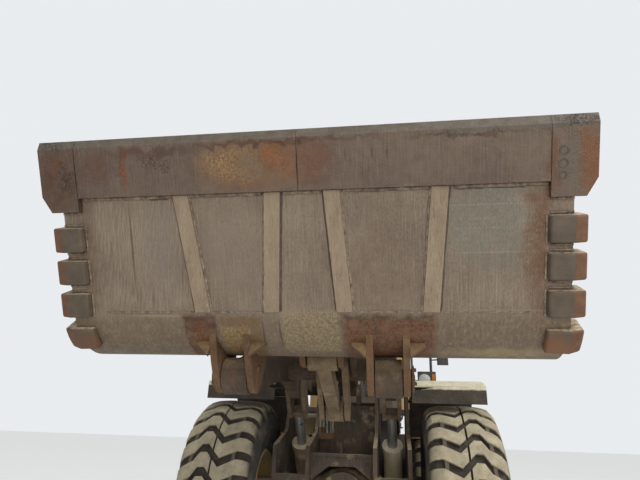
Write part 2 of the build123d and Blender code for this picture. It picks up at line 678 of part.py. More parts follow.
# Gussets stand square to the heel beside each plate: across, and out from the heel's skin
gusset_turn = bucket_turn + 238
gusset_foot = turned(heel_radius, 0, gusset_turn)
heel_centre = turned(0, heel_radius, bucket_turn)
gusset_view = Plane(origin=(hinge_x + bucket_zero_x + heel_centre[0] + gusset_foot[0], 0,
                            bucket_zero_z + heel_centre[1] + gusset_foot[1]),
                    x_dir=(0, 1, 0), z_dir=(turned(0, -1, gusset_turn)[0], 0, turned(0, -1, gusset_turn)[1]))
with BuildPart() as bucket_brackets:
    for sign in (1, -1):
        for plate_y in (arm_y - bracket_spread, arm_y + bracket_spread):
            with BuildSketch(bucket_view.offset(-sign * plate_y)) as ear:
                with BuildLine():
                    Polyline(*hinge_outline, close=True)
                make_face()
                with Locations((0, heel_radius)):
                    Circle(heel_radius + seat_gap, mode=Mode.SUBTRACT)
            extrude(ear.sketch, amount=22.5, both=True)
            bar(bucket_view, pin_u, pin_v, 115, sign * plate_y - 22.5, sign * plate_y + 22.5)
        bar(bucket_view, pin_u, pin_v, bucket_pin_radius, sign * arm_y - 150, sign * arm_y + 150)
        plate(bucket_view, sign * 150, 45, lug_outline)
    for name, sign in sides:
        for out_way in (1, -1):
            foot_y = sign * arm_y + out_way * (bracket_spread + 22.5)
            with BuildSketch(gusset_view) as gusset:
                with BuildLine():
                    Polyline((foot_y - out_way, 0.5), (foot_y + out_way * 95, 0.5),
                             (foot_y + out_way * 95, 20), (foot_y, 110), (foot_y - out_way, 110), close=True)
                make_face()
            extrude(gusset.sketch, amount=12, both=True)
finish(bucket_brackets, "bucket_brackets")

# Rear frame: a narrow neck with the hinge's forks, and two rails back to the counterweight
fork_plates = [(1225, 1285), (1355, 1415), (625, 685), (755, 815)]
with BuildPart() as rear_frame:
    for z_low, z_high in fork_plates:
        slab(z_low, z_high, [(0, -130), (-420, -neck_y), (-1100, -neck_y), (-1100, neck_y),
                             (-420, neck_y), (0, 130)])
        post(0, 0, 130, z_low, z_high)
    post(0, 0, hinge_pin_radius, 610, 835)
    post(0, 0, hinge_pin_radius, 1205, 1435)
    for sign in (1, -1):
        plate(side(0, 0), sign * (neck_y - 20), 40, [(-420, 625), (-1100, 625), (-1100, 1415), (-420, 1415)])
        plate(side(0, 0), sign * rail_y, rail_plate,
              [(-1060, 640), (-1450, 640), (-1600, rail_bottom), (-2250, rail_bottom), (-2400, 760),
               (-3850, 760), (-3850, rail_top), (-1060, rail_top)])
        for lug_z in (steer_z - 80, steer_z + 80):
            slab(lug_z - 15, lug_z + 15, [(steer_rear_x - 120, sign * neck_y), (steer_rear_x + 120, sign * neck_y),
                                          (steer_rear_x + 70, sign * (steer_rear_y + 60)),
                                          (steer_rear_x - 70, sign * (steer_rear_y + 60))])
        post(steer_rear_x, sign * steer_rear_y, 35, steer_z - 95, steer_z + 95)
    block((-460, -420), (-neck_y, neck_y), (625, 1415))
    block((-1100, -1060), (-460, 460), (640, rail_top))
    for x in (-3370, -2330):
        block((x - 40, x + 40), (-421, 421), (1060, 1150 - seat_gap))
    block((-3850, -3800), (-420, 420), (760, rail_top))
finish(rear_frame, "rear_frame")

frame_side = rail_y + rail_plate / 2 + seat_gap
frame_end = -3850 - seat_gap
with BuildPart() as counterweight:
    slab(820, 1540, [(-3560, -1100), (-3560, -frame_side), (frame_end, -frame_side), (frame_end, frame_side),
                     (-3560, frame_side), (-3560, 1100),
                     (-3980, 1100), (-rear_overhang, 850), (-rear_overhang, -850), (-3980, -1100)])
    for slot_z in ((930, 1070), (1180, 1541)):
        block((-rear_overhang - 1, tow_bore_x + 70), (-110, 110), slot_z, mode=Mode.SUBTRACT)
    post(tow_bore_x, 0, tow_bore_radius, 800, 1180, mode=Mode.SUBTRACT)
finish(counterweight, "counterweight")

with BuildPart() as engine:
    block((-3450, -2250), (-400, 400), (1150, 2250))
finish(engine, "engine")

# Engine hood: a folded sheet open below and behind, with chamfered shoulders
hood_section = [(-hood_half, hood_bottom), (-hood_half, hood_top - 180), (-hood_half + 150, hood_top),
                (hood_half - 150, hood_top), (hood_half, hood_top - 180), (hood_half, hood_bottom)]
hood_inside = [(hood_half - hood_sheet, hood_bottom), (hood_half - hood_sheet, hood_top - 192),
               (hood_half - 162, hood_top - hood_sheet), (-hood_half + 162, hood_top - hood_sheet),
               (-hood_half + hood_sheet, hood_top - 192), (-hood_half + hood_sheet, hood_bottom)]
across = Plane(origin=(hinge_x + hood_back_x, 0, 0), x_dir=(0, 1, 0), z_dir=(1, 0, 0))
with BuildPart() as engine_hood:
    with BuildSketch(across):
        with BuildLine():
            Polyline(*hood_section, *hood_inside, close=True)
        make_face()
    extrude(amount=hood_front_x - hood_back_x)
    with BuildSketch(across.offset(hood_front_x - hood_back_x - hood_sheet)):
        with BuildLine():
            Polyline((-hood_half, 1800), *hood_section[1:-1], (hood_half, 1800), close=True)
        make_face()
    extrude(amount=hood_sheet)
    for y in (-430, 430):
        block((hood_hinge_x, hood_hinge_x + 130), (y - 20, y + 20), (hood_top - 4, hood_top + 14))
        bar(side(0, 0), hood_hinge_x, hood_hinge_z, 24, y - 20, y + 20)
        bar(side(0, 0), hood_hinge_x, hood_hinge_z, 12 + pin_gap, y - 21, y + 21, mode=Mode.SUBTRACT)
finish(engine_hood, "engine_hood")

grille_hinges = [hood_bottom + 140, hood_top - 200]
with BuildPart() as radiator_guard:
    block((guard_back_x, guard_front_x), (-hood_half, hood_half), (hood_bottom - 20 + seat_gap, guard_top))
    block((guard_back_x - 1, guard_front_x - 60), (-hood_half + 60, hood_half - 60),
          (hood_bottom + 60, guard_top - 80), mode=Mode.SUBTRACT)
    block((guard_back_x + 120, guard_front_x), (-rail_y - 20, rail_y + 20),
          (rail_top + seat_gap, hood_bottom - 19))
    for y in (-400, 400):
        plate(side(0, 0), y, 18, [(guard_front_x - 70, guard_top - 10), (guard_front_x - 1, guard_top - 10),
                                  (hood_hinge_x, hood_hinge_z - 20), (hood_hinge_x, hood_hinge_z + 20),
                                  (hood_hinge_x - 20, hood_hinge_z + 20)])
        bar(side(0, 0), hood_hinge_x, hood_hinge_z, 20, y - 9, y + 9)
        bar(side(0, 0), hood_hinge_x, hood_hinge_z, 12, min(y, y * 1.13), max(y, y * 1.13))
    for z in grille_hinges:
        slab(z - 20, z, [(guard_back_x, hood_half - 10), (guard_back_x + 100, hood_half - 10),
                         (guard_back_x + 100, hood_half), (grille_hinge_x + 20, grille_hinge_y + 22),
                         (grille_hinge_x - 20, grille_hinge_y + 22), (grille_hinge_x - 22, grille_hinge_y - 20),
                         (guard_back_x - 1, grille_hinge_y - 22)])
        post(grille_hinge_x, grille_hinge_y, 12, z - 20, z + 70)
finish(radiator_guard, "radiator_guard")

with BuildPart() as rear_grille:
    block((grille_back_x, grille_front_x), (-hood_half + 20, hood_half - 20), (hood_bottom, guard_top - 20))
    with BuildSketch(Plane(origin=(hinge_x + grille_back_x, 0, 0), x_dir=(0, 1, 0), z_dir=(1, 0, 0))):
        with Locations((0, (hood_bottom + guard_top - 20) / 2)):
            with GridLocations(0, 100, 1, 8):
                Rectangle(2 * hood_half - 200, 60)
    extrude(amount=grille_sheet, mode=Mode.SUBTRACT)
    for z in grille_hinges:
        block((grille_back_x + 2, grille_back_x + 18), (hood_half - 50, grille_hinge_y), (z + 1, z + 68))
        post(grille_hinge_x, grille_hinge_y, 24, z + 1, z + 68)
        post(grille_hinge_x, grille_hinge_y, 12 + pin_gap, z, z + 70, mode=Mode.SUBTRACT)
finish(rear_grille, "rear_grille")

# Cab: a hollow shell with chamfered front corners, its windows and doorway cut
cab_plan = [(cab_front_x, -520), (cab_front_x, 520), (-330, cab_half), (cab_back_x, cab_half),
            (cab_back_x, -cab_half), (-330, -cab_half)]
inner_plan = [(cab_front_x - cab_wall, -495), (cab_front_x - cab_wall, 495),
              (-330 - 30, cab_half - cab_wall), (cab_back_x + cab_wall, cab_half - cab_wall),
              (cab_back_x + cab_wall, -cab_half + cab_wall), (-330 - 30, -cab_half + cab_wall)]
door_hinges = [door_bottom_z + 160, door_top_z - 170]
window_top = cab_top_z - 100
# Panes: name, x range, y range, z range
panes = [("front", (-190, -170), (-440, 440), (2150, window_top)),
         ("rear", (-1530, -1510), (-640, 640), (2600, window_top)),
         ("right_front", (-960, -400), (-760, -740), (2350, window_top)),
         ("right_rear", (-1470, -1020), (-760, -740), (2500, window_top)),
         ("left_rear", (-1470, -1270), (740, 760), (2500, window_top))]
with BuildPart() as cab_body:
    slab(cab_floor_z, cab_top_z, cab_plan)
    slab(cab_floor_z + cab_wall, cab_top_z + 1, inner_plan, mode=Mode.SUBTRACT)
    for name, (x_low, x_high), (y_low, y_high), z_range in panes:
        if name in ("front", "rear"):
            block((x_low - 60, x_high + 60), (y_low, y_high), z_range, mode=Mode.SUBTRACT)
        else:
            block((x_low, x_high), (y_low - 60, y_high + 60), z_range, mode=Mode.SUBTRACT)
    block((door_back_x, door_front_x), (600, 900), (door_bottom_z, door_top_z), mode=Mode.SUBTRACT)
    for z in door_hinges:
        block((door_back_x - 50, door_back_x + 12), (cab_half, door_hinge_y + 12), (z - 40, z))
        post(door_back_x, door_hinge_y, 10, z - 40, z + 60)
finish(cab_body, "cab_body")

with BuildPart() as cab_roof:
    slab(cab_top_z, cab_top_z + 70, [(cab_front_x + 70, -560), (cab_front_x + 70, 560), (-320, cab_half + 40),
                                     (cab_back_x - 60, cab_half + 40), (cab_back_x - 60, -cab_half - 40),
                                     (-320, -cab_half - 40)])
    slab(cab_top_z + 70, cab_top_z + 150, [(cab_front_x - 20, -480), (cab_front_x - 20, 480),
                                           (-380, cab_half - 60), (cab_back_x + 40, cab_half - 60),
                                           (cab_back_x + 40, -cab_half + 60), (-380, -cab_half + 60)])
finish(cab_roof, "cab_roof")

with BuildPart() as cab_glass:
    for name, (x_low, x_high), (y_low, y_high), (z_low, z_high) in panes:
        trim_x = 0 if name in ("front", "rear") else seat_gap
        trim_y = seat_gap if name in ("front", "rear") else 0
        block((x_low + trim_x, x_high - trim_x), (y_low + trim_y, y_high - trim_y),
              (z_low + seat_gap, z_high - seat_gap))
finish(cab_glass, "cab_glass")

with BuildPart() as cab_door:
    block((door_back_x + door_gap, door_front_x - door_gap), (cab_half - 50, cab_half - 2),
          (door_bottom_z + door_gap, door_top_z - door_gap))
    block((door_back_x + 90, door_front_x - 90), (cab_half - 60, cab_half + 10),
          (door_bottom_z + 420, door_top_z - 90), mode=Mode.SUBTRACT)
    for z in door_hinges:
        block((door_back_x, door_back_x + 85), (cab_half - 4, cab_half + 10), (z + 1, z + 60))
        post(door_back_x, door_hinge_y, 20, z + 1, z + 60)
        post(door_back_x, door_hinge_y, 10 + pin_gap, z, z + 61, mode=Mode.SUBTRACT)
        block((door_back_x - 1, door_back_x + 6), (cab_half - 6, cab_half - 1), (z, z + 61), mode=Mode.SUBTRACT)
finish(cab_door, "cab_door")

with BuildPart() as door_glass:
    block((door_back_x + 90 + seat_gap, door_front_x - 90 - seat_gap), (cab_half - 35, cab_half - 20),
          (door_bottom_z + 420 + seat_gap, door_top_z - 90 - seat_gap))
finish(door_glass, "door_glass")

cab_deck = cab_floor_z + cab_wall
with BuildPart() as seat:
    block((-1260, -960), (-170, 170), (cab_deck, cab_deck + 330))
    plate(side(0, 0), 0, 500, [(-880, cab_deck + 330), (-880, cab_deck + 450), (-1250, cab_deck + 430),
                               (-1330, cab_deck + 1050), (-1420, cab_deck + 1040),
                               (-1380, cab_deck + 330)])
finish(seat, "seat")

with BuildPart() as console:
    plate(side(0, 0), 0, 120, [(-430, cab_deck), (-600, cab_deck), (-690, cab_deck + 690),
                               (-600, cab_deck + 700)])
    with BuildSketch(Plane(origin=(hinge_x - 650, 0, cab_deck + 680), x_dir=(0, 1, 0),
                           z_dir=(cos(radians(-65)), 0, sin(radians(-65))))):
        RegularPolygon(208, 24)
        RegularPolygon(172, 24, mode=Mode.SUBTRACT)
    extrude(amount=14, both=True)
    bar(side(-650, cab_deck + 680, -65), 0, 0, 22, -185, 185)
finish(console, "console")

# Platform and ladder on each side of the cab; the left one carries the ladder
with BuildPart() as access_steps:
    slab(1840, cab_floor_z - seat_gap, [(-120, 300), (-120, 1160), (-1250, 1160), (-1250, 300)])
    slab(1840, cab_floor_z - seat_gap, [(-120, -300), (-120, -1160), (-1250, -1160), (-1250, -300)])
    slab(1840, cab_floor_z - seat_gap, [(-200, -301), (-200, 301), (-1500, 301), (-1500, -301)])
    for x in (-380, -880):
        plate(side(x, 0), 1175, 40, [(-30, 1880), (30, 1880), (30, 560), (-30, 560)])
    for step_z in (600, 920, 1240, 1560):
        block((-880, -380), (1165, 1345), (step_z, step_z + 30))
    block((-1080, -480), (-420, 420), (rail_top + 15 + seat_gap, 1840))
finish(access_steps, "access_steps")

with BuildPart() as handrails:
    for points in ([(-150, 1120, cab_floor_z), (-150, 1120, 2900), (-300, 1120, 2900), (-300, 1120, cab_floor_z)],
                   [(-150, -1120, cab_floor_z), (-150, -1120, 2850), (-1230, -1120, 2850), (-1230, -1120, cab_floor_z)]):
        tube_along(points, 20, 90)
    tube_along([(-350, cab_half + seat_gap, 2100), (-350, cab_half + 60, 2100), (-350, cab_half + 60, 2900),
                (-350, cab_half + seat_gap, 2900)], 15, 30)
finish(handrails, "handrails")

with BuildPart() as rear_fenders:
    for sign in (1, -1):
        band(side(rear_axle_x, axle_z), sign * 1200, 770, 1050, 1070, 32, 126)
        for x in (-2200, -1600):
            block((x - 30, x + 30), (min(sign * 460.3, sign * 820), max(sign * 460.3, sign * 820)),
                  (rail_top - 80, rail_top))
            block((x - 30, x + 30), (min(sign * 800, sign * 820), max(sign * 800, sign * 820)),
                  (rail_top - 80, axle_z + 1010))
finish(rear_fenders, "rear_fenders")

with BuildPart() as exhaust_stack:
    post(-2350, 300, 130, hood_top, hood_top + 420)
    post(-2350, 300, 65, hood_top + 420, 3600)
finish(exhaust_stack, "exhaust_stack")

with BuildPart() as air_cleaner:
    post(-2350, -300, 60, hood_top, hood_top + 300)
    post(-2350, -300, 140, hood_top + 300, hood_top + 560)
finish(air_cleaner, "air_cleaner")

with BuildPart() as work_lamps:
    for x, y in ((cab_front_x + 25, 420), (cab_front_x + 25, -420), (cab_back_x - 10, 420),
                 (cab_back_x - 10, -420)):
        block((x - 40, x + 40), (y - 90, y + 90), (cab_top_z + 70 + seat_gap, cab_top_z + 170))
finish(work_lamps, "work_lamps")

with BuildPart() as front_lamps:
    for sign in (1, -1):
        block((1250, 1300), (min(sign * 715, sign * 900), max(sign * 715, sign * 900)), (2150, 2200))
        block((1230, 1340), (sign * 960 - 110, sign * 960 + 110), (2100, 2300))
finish(front_lamps, "front_lamps")
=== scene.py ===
# %% [markdown]
# This lesson dresses a wheel loader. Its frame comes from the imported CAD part: every plate, pin and
# tyre is already in its place, in metres, and each piece made here is laid on that frame.

# %% Load the frame
import math
import bmesh
import bpy
import numpy as np
from mathutils import Matrix, Vector
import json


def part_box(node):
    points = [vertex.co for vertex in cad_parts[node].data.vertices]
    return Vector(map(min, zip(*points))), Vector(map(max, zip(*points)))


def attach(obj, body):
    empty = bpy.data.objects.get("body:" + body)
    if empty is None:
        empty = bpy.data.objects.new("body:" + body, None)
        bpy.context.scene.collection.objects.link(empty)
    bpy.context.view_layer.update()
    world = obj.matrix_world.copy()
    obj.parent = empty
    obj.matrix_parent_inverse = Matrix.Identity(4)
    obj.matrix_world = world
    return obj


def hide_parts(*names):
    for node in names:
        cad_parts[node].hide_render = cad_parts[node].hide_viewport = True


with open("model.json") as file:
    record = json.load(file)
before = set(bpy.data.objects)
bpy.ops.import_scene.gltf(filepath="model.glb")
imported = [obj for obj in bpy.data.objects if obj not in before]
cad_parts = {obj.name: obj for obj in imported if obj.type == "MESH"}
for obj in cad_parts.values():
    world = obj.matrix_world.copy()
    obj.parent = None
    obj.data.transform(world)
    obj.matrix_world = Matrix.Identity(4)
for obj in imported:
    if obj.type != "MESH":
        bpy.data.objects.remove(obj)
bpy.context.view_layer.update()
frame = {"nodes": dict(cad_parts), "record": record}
nodes = frame["nodes"]

# %% [markdown]
# The camera stands low in front of the raised bucket and looks up at its underside. Its place and
# turn were worked out from the lip, the wear strips and the tyres. A camera in Blender looks along
# its own minus Z, so its axes are written as the three columns of a matrix.

# %% The camera
camera_place = (7.2251, 0.554, 1.585)
yaw, pitch, roll = (math.radians(v) for v in (-8.84, 21.1, 1.93))
focal_pixels, picture_pixels, sensor_mm = 490, 640, 36
scene = bpy.context.scene
scene.view_settings.view_transform = "Standard"
camera_data = bpy.data.cameras.new("camera")
camera = bpy.data.objects.new("camera", camera_data)
scene.collection.objects.link(camera)
scene.camera = camera
ahead = Vector((-math.cos(yaw) * math.cos(pitch), math.sin(yaw) * math.cos(pitch), math.sin(pitch)))
level_right = ahead.cross(Vector((0, 0, 1))).normalized()
level_up = level_right.cross(ahead)
right = level_right * math.cos(roll) + level_up * math.sin(roll)
up = level_up * math.cos(roll) - level_right * math.sin(roll)
camera.matrix_world = Matrix.Translation(camera_place) @ Matrix((right, up, -ahead)).transposed().to_4x4()
camera_data.sensor_width = sensor_mm
camera_data.lens = focal_pixels / picture_pixels * sensor_mm
camera_data.clip_end = 200
print("camera lens", round(camera_data.lens, 2), "mm")


# %% [markdown]
# Colours are picked as sRGB hex values, while a shader reckons with linear light, so one
# function turns the first into the second. A second function adds a node with its settings and its
# links, in the tree of the socket that it is given, which keeps a material short enough to read from
# top to bottom. Dirt lies in coats, and a coat's masks multiply.

# %% Helpers for materials
def linear(hex_text):
    """sRGB hex to linear RGBA: c/12.92 below 0.04045, else ((c + 0.055)/1.055) to the power 2.4."""
    values = np.array([int(hex_text[i:i + 2], 16) for i in (0, 2, 4)]) / 255
    light = np.where(values <= 0.04045, values / 12.92, ((values + 0.055) / 1.055) ** 2.4)
    return (*light.tolist(), 1.0)


def add_node(near, kind, links=None, stops=None, output=None, **settings):
    """Adds a node to the tree that a socket or node is in and gives it back, or the output that is named.
    Settings are its properties. Links name a socket and give it a socket, a value or a hex colour."""
    tree = near.id_data
    node = tree.nodes.new("ShaderNode" + kind)
    for key, value in settings.items():
        setattr(node, key, value)
    if stops:
        ramp = node.color_ramp
        while len(ramp.elements) < len(stops):
            ramp.elements.new(0.5)
        for element, (place, colour) in zip(ramp.elements, stops):
            element.position = place
            element.color = linear(colour) if isinstance(colour, str) else (colour, colour, colour, 1)
    for key, value in (links or {}).items():
        if isinstance(value, bpy.types.NodeSocket):
            tree.links.new(value, node.inputs[key])
        else:
            node.inputs[key].default_value = linear(value) if isinstance(value, str) else value
    return node if output is None else node.outputs[output]


def new_material(name, roughness=0.7, metallic=0.0):
    """A material with its Principled shader and the piece's own coordinates in metres."""
    material = bpy.data.materials.new(name)
    material.use_nodes = True
    shader = material.node_tree.nodes["Principled BSDF"]
    shader.inputs["Roughness"].default_value = roughness
    shader.inputs["Metallic"].default_value = metallic
    print("material", name, "roughness", roughness, "metallic", metallic)
    return material, shader, add_node(material.node_tree, "TexCoord", output="Object")


def coat(under, colour, *masks):
    """A coat of colour laid over another where the product of its masks is 1."""
    share = masks[0]
    for mask in masks[1:]:
        share = add_node(share, "Math", {0: share, 1: mask}, output=0, operation="MULTIPLY")
    return add_node(share, "Mix", {0: share, 6: under, 7: colour}, output=2, data_type="RGBA")


def feed(shader, **values):
    """Links values to the shader's sockets. A socket's name is written with _ for a space."""
    for key, value in values.items():
        shader.id_data.links.new(value, shader.inputs[key.replace("_", " ")])


def rough_and_bumpy(shader, colour, height, depth_mm, roughness=None):
    """Gives the shader its colour, a bump of a real depth and, if it varies, its roughness."""
    bump = {"Height": height, "Distance": depth_mm / 1000, "Strength": 1.0}
    feed(shader, Base_Color=colour, Normal=add_node(shader, "Bump", bump, output="Normal"))
    if roughness:
        feed(shader, Roughness=roughness)


print("mid grey in linear light", round(linear("808080")[0], 3))

# %% [markdown]
# Three patterns do most of the work on a dirty machine: clouds of a real size in millimetres,
# patches for rust that sits in one known place, and a mask for faces that look up, where dust
# settles. Each is a few nodes, so each is a function.

# %% Patterns that the finishes share
def clouds(place, size_mm, stops, detail=5, stretch=(1, 1, 1)):
    """Noise sent through a ramp. size_mm is a cloud's width, and stretch lengthens it along an axis."""
    scale = tuple(1000 / (size_mm * s) for s in stretch)
    scaled = add_node(place, "Mapping", {"Vector": place, "Scale": scale}, output="Vector")
    noise = {"Vector": scaled, "Scale": 1, "Detail": detail, "Roughness": 0.62}
    return add_node(place, "ValToRGB", {"Fac": add_node(place, "TexNoise", noise, output=0)}, stops, "Color")


def in_reaches(place, middle, reach):
    """The way from a middle, counted in reaches along each axis."""
    away = add_node(place, "VectorMath", {0: place, 1: middle}, output=0, operation="SUBTRACT")
    shares = tuple(1 / r for r in reach)
    return add_node(place, "VectorMath", {0: away, 1: shares}, output=0, operation="MULTIPLY")


def patch(place, middle, reach, hard=0.55):
    """1 inside an ellipsoid and 0 outside: the distance from its middle in reaches, faded from hard to 1."""
    away = in_reaches(place, middle, reach)
    distance = add_node(place, "VectorMath", {0: away}, output="Value", operation="LENGTH")
    faded = {"Value": distance, "From Min": 1.0, "From Max": hard}
    return add_node(place, "MapRange", faded, output="Result")


def zone(place, middle, reach):
    """1 inside a box and 0 outside: the largest share of X, Y and Z in reaches, faded from 0.85 to 1."""
    away = in_reaches(place, middle, reach)
    sizes = add_node(place, "VectorMath", {0: away}, output=0, operation="ABSOLUTE")
    x, y, z = add_node(place, "SeparateXYZ", {0: sizes}).outputs
    largest = add_node(place, "Math", {0: x, 1: y}, output=0, operation="MAXIMUM")
    largest = add_node(place, "Math", {0: largest, 1: z}, output=0, operation="MAXIMUM")
    faded = {"Value": largest, "From Min": 1.0, "From Max": 0.85}
    return add_node(place, "MapRange", faded, output="Result")


def border(place, axis, start, end):
    """0 before start and 1 past end, along one axis of a place."""
    length = add_node(place, "SeparateXYZ", {0: place}, output=axis)
    share = {"Value": length, "From Min": start, "From Max": end}
    return add_node(place, "MapRange", share, output="Result")


def looking_up(place, low, high):
    """0 to 1 as a face turns upward: the Z of the object-space normal, from low to high."""
    return border(place.id_data.nodes["Texture Coordinate"].outputs["Normal"], "Z", low, high)


def simple_finish(name, size_mm, stops, depth_mm, detail=5, grain=None, roughness=0.7, metallic=0.0):
    """A finish of one cloudy tone. Its bump is the tone's own, or that of a grain (size, stops, detail)."""
    material, shader, place = new_material(name, roughness, metallic)
    tone = clouds(place, size_mm, stops, detail)
    rough_and_bumpy(shader, tone, clouds(place, *grain) if grain else tone, depth_mm)
    return material


# %% [markdown]
# The studio is a pale floor and a pale sky. Most of the light comes evenly from the sky, so a colour
# renders about as it is written, and two large soft lamps give the edges some shape: one from the
# machine's left, as the sun stood, and one low in front that reaches the bucket's underside. Sky and
# floor are brighter where they are seen than in the light that they cast.

# %% Light and floor
def seen(tree):
    """1 for rays that show a thing, straight, mirrored or through glass, and 0 for the rest."""
    rays = add_node(tree, "LightPath").outputs
    shown = rays["Is Camera Ray"]
    for other in ("Is Glossy Ray", "Is Transmission Ray"):
        shown = add_node(tree, "Math", {0: shown, 1: rays[other]}, output=0, operation="MAXIMUM")
    return shown


world = bpy.data.worlds.new("studio_sky")
scene.world = world
world.use_nodes = True
background = world.node_tree.nodes["Background"]
background.inputs["Color"].default_value = linear("F1F4F7")
sky_light, sky_shown = 0.52, 0.93
power = {"Value": seen(world.node_tree), "To Min": sky_light, "To Max": sky_shown}
feed(background, Strength=add_node(background, "MapRange", power, output="Result"))


def add_lamp(name, place, target, size, watts):
    """A square soft lamp at a place that looks at a target."""
    lamp = bpy.data.lights.new(name, "AREA")
    lamp.size = size
    lamp.energy = watts
    lamp_object = bpy.data.objects.new(name, lamp)
    scene.collection.objects.link(lamp_object)
    way = Vector(target) - Vector(place)
    lamp_object.matrix_world = Matrix.Translation(place) @ way.to_track_quat("-Z", "Y").to_matrix().to_4x4()


add_lamp("sun_side_lamp", (9.0, 9.0, 11.0), (2.5, 0, 2.0), size=7.0, watts=1280)
add_lamp("low_front_lamp", (13.0, 2.0, 1.8), (3.5, 0, 2.6), size=6.0, watts=380)

floor_half, floor_glow = 60, 0.33
floor_mesh = bpy.data.meshes.new("studio_floor")
floor_corners = [(x * floor_half, y * floor_half, 0) for x, y in ((-1, -1), (1, -1), (1, 1), (-1, 1))]
floor_mesh.from_pydata(floor_corners, [], [(0, 1, 2, 3)])
studio_floor = bpy.data.objects.new("studio_floor", floor_mesh)
scene.collection.objects.link(studio_floor)
floor_paint = simple_finish("pale_floor_paint", 900, [(0.3, "DAD9D6"), (0.7, "E1E0DD")], 0.5, roughness=0.9)
glow = {"Value": seen(floor_paint.node_tree), "To Max": floor_glow}
feed(floor_paint.node_tree.nodes["Principled BSDF"],
     Emission_Strength=add_node(floor_paint.node_tree, "MapRange", glow, output="Result"))
floor_mesh.materials.append(floor_paint)
print("lamps", [lamp.name for lamp in bpy.data.lights], "on a floor", 2 * floor_half, "m wide")

# %% [markdown]
# The bucket is tipped by 61 degrees, and its wear runs along its floor and not along the ground. A
# Mapping node of the Texture kind takes the object's coordinates into the bucket's own frame: X runs
# along the floor to the lip, Y across and Z square to the floor, so a streak needs only a stretch.

# %% The bucket's own frame
bucket_zero = np.array((4.1885, 0.0, 2.2731))
bucket_turn = math.radians(61.2)
bucket_u = np.array((math.cos(bucket_turn), 0, math.sin(bucket_turn)))
bucket_v = np.array((-math.sin(bucket_turn), 0, math.cos(bucket_turn)))
print("bucket u", bucket_u.round(3), "v", bucket_v.round(3))


def on_bucket(points):
    """Points (u, y, v) in the bucket's frame to the row's: zero + u along + v square, with y kept."""
    points = np.asarray(points, float)
    across = points[..., 1:2] * np.array((0.0, 1.0, 0.0))
    return bucket_zero + points[..., 0:1] * bucket_u + across + points[..., 2:3] * bucket_v


def measured_from(place, foot, turn):
    """Coordinates counted from a foot, along axes that a turn about X, Y and Z gives."""
    own = {"Vector": place, "Location": tuple(foot), "Rotation": turn}
    return add_node(place, "Mapping", own, output="Vector", vector_type="TEXTURE")


def bucket_material(name, metallic=0.0):
    """A new material whose coordinates are the bucket's."""
    material, shader, place = new_material(name, metallic=metallic)
    return material, shader, measured_from(place, bucket_zero, (0, -bucket_turn, 0))


def torn_place(place, size_mm, reach):
    """Coordinates shaken by noise, so that a patch laid on them gets a ragged edge."""
    noise = {"Vector": place, "Scale": 1000 / size_mm, "Detail": 4}
    noise = add_node(place, "TexNoise", noise, output="Color")
    shake = add_node(place, "VectorMath", {0: noise, 1: (0.5, 0.5, 0.5)}, output=0, operation="SUBTRACT")
    shake = add_node(place, "VectorMath", {0: shake, "Scale": reach}, output=0, operation="SCALE")
    return add_node(place, "VectorMath", {0: place, 1: shake}, output=0, operation="ADD")


def at_height(v, reach_v, rows):
    """A table of rows u, y, reach along u and y, colour, strength and kind, all at one height v."""
    return [((u, y, v), (reach_u, reach_y, reach_v), *rest) for u, y, reach_u, reach_y, *rest in rows]


def lay_patches(colour, place, torn, rows):
    """Lays a table of patches over a colour: middle, reach, colour, strength and kind. A line stays thin
    and nearly straight, a cloud is ragged and thin in places, a zone fills a box, and grain is specks."""
    specks = clouds(place, 15, [(0.44, 0.0), (0.56, 1.0)], detail=4)
    thin = clouds(place, 70, [(0.36, 0.45), (0.56, 1.0)], detail=8)
    steady, ragged = torn_place(place, 40, 0.008), torn_place(place, 45, 0.05)
    for middle, reach, hex_text, strength, kind in rows:
        if kind == "line":
            masks = [patch(steady, middle, reach, 0.3)]
        else:
            within = zone(ragged, middle, reach) if "zone" in kind else patch(torn, middle, reach, 0.4)
            masks = [within, specks if "grain" in kind else thin]
        colour = coat(colour, hex_text, *masks, strength)
    return colour


# %% [markdown]
# The bucket's floor is hot-rolled plate that gravel has scoured: no paint is left, the scratches run
# towards the lip, and clay dust fills what is not polished. The rust sits where water stays, on the
# heel between the arms. One noise gives the slow change of tone, a stretched one the scratches, and
# a table of patches the rust that the photograph shows, so it can be moved one row at a time.

# %% Scoured plate of the bucket's shell
scoured_plate, shader, place = bucket_material("scoured_hot_rolled_plate", metallic=0.15)
torn = torn_place(place, 90, 0.16)
tone = clouds(place, 420, [(0.3, "6F6052"), (0.5, "7F6E5D"), (0.72, "8A7B68")])
pale_streak = clouds(place, 9, [(0.5, 0.0), (0.74, 0.55)], detail=3, stretch=(26, 1, 6))
dark_streak = clouds(place, 14, [(0.3, 0.5), (0.46, 0.0)], detail=3, stretch=(34, 1, 6))
colour = coat(coat(tone, "A4957E", pale_streak), "5B4E43", dark_streak)
slant = {"Vector": place, "Rotation": (0, 0, math.radians(-9))}
slanted = add_node(place, "Mapping", slant, output="Vector")
slant_streak = clouds(slanted, 12, [(0.47, 0.0), (0.68, 0.55)], detail=5, stretch=(13, 1, 6))
colour = coat(colour, "A09480", slant_streak, patch(torn, (0.42, -1.18, 0), (0.75, 0.5, 0.3), 0.8))
heel_speckle = clouds(place, 20, [(0.48, 0.0), (0.66, 0.5)], detail=7, stretch=(1.6, 1, 1.6))
heel_part = border(place, "X", 0.0, -0.06)
colour = coat(colour, "645443", heel_part, 0.6)
colour = coat(colour, "978566", heel_part, heel_speckle)
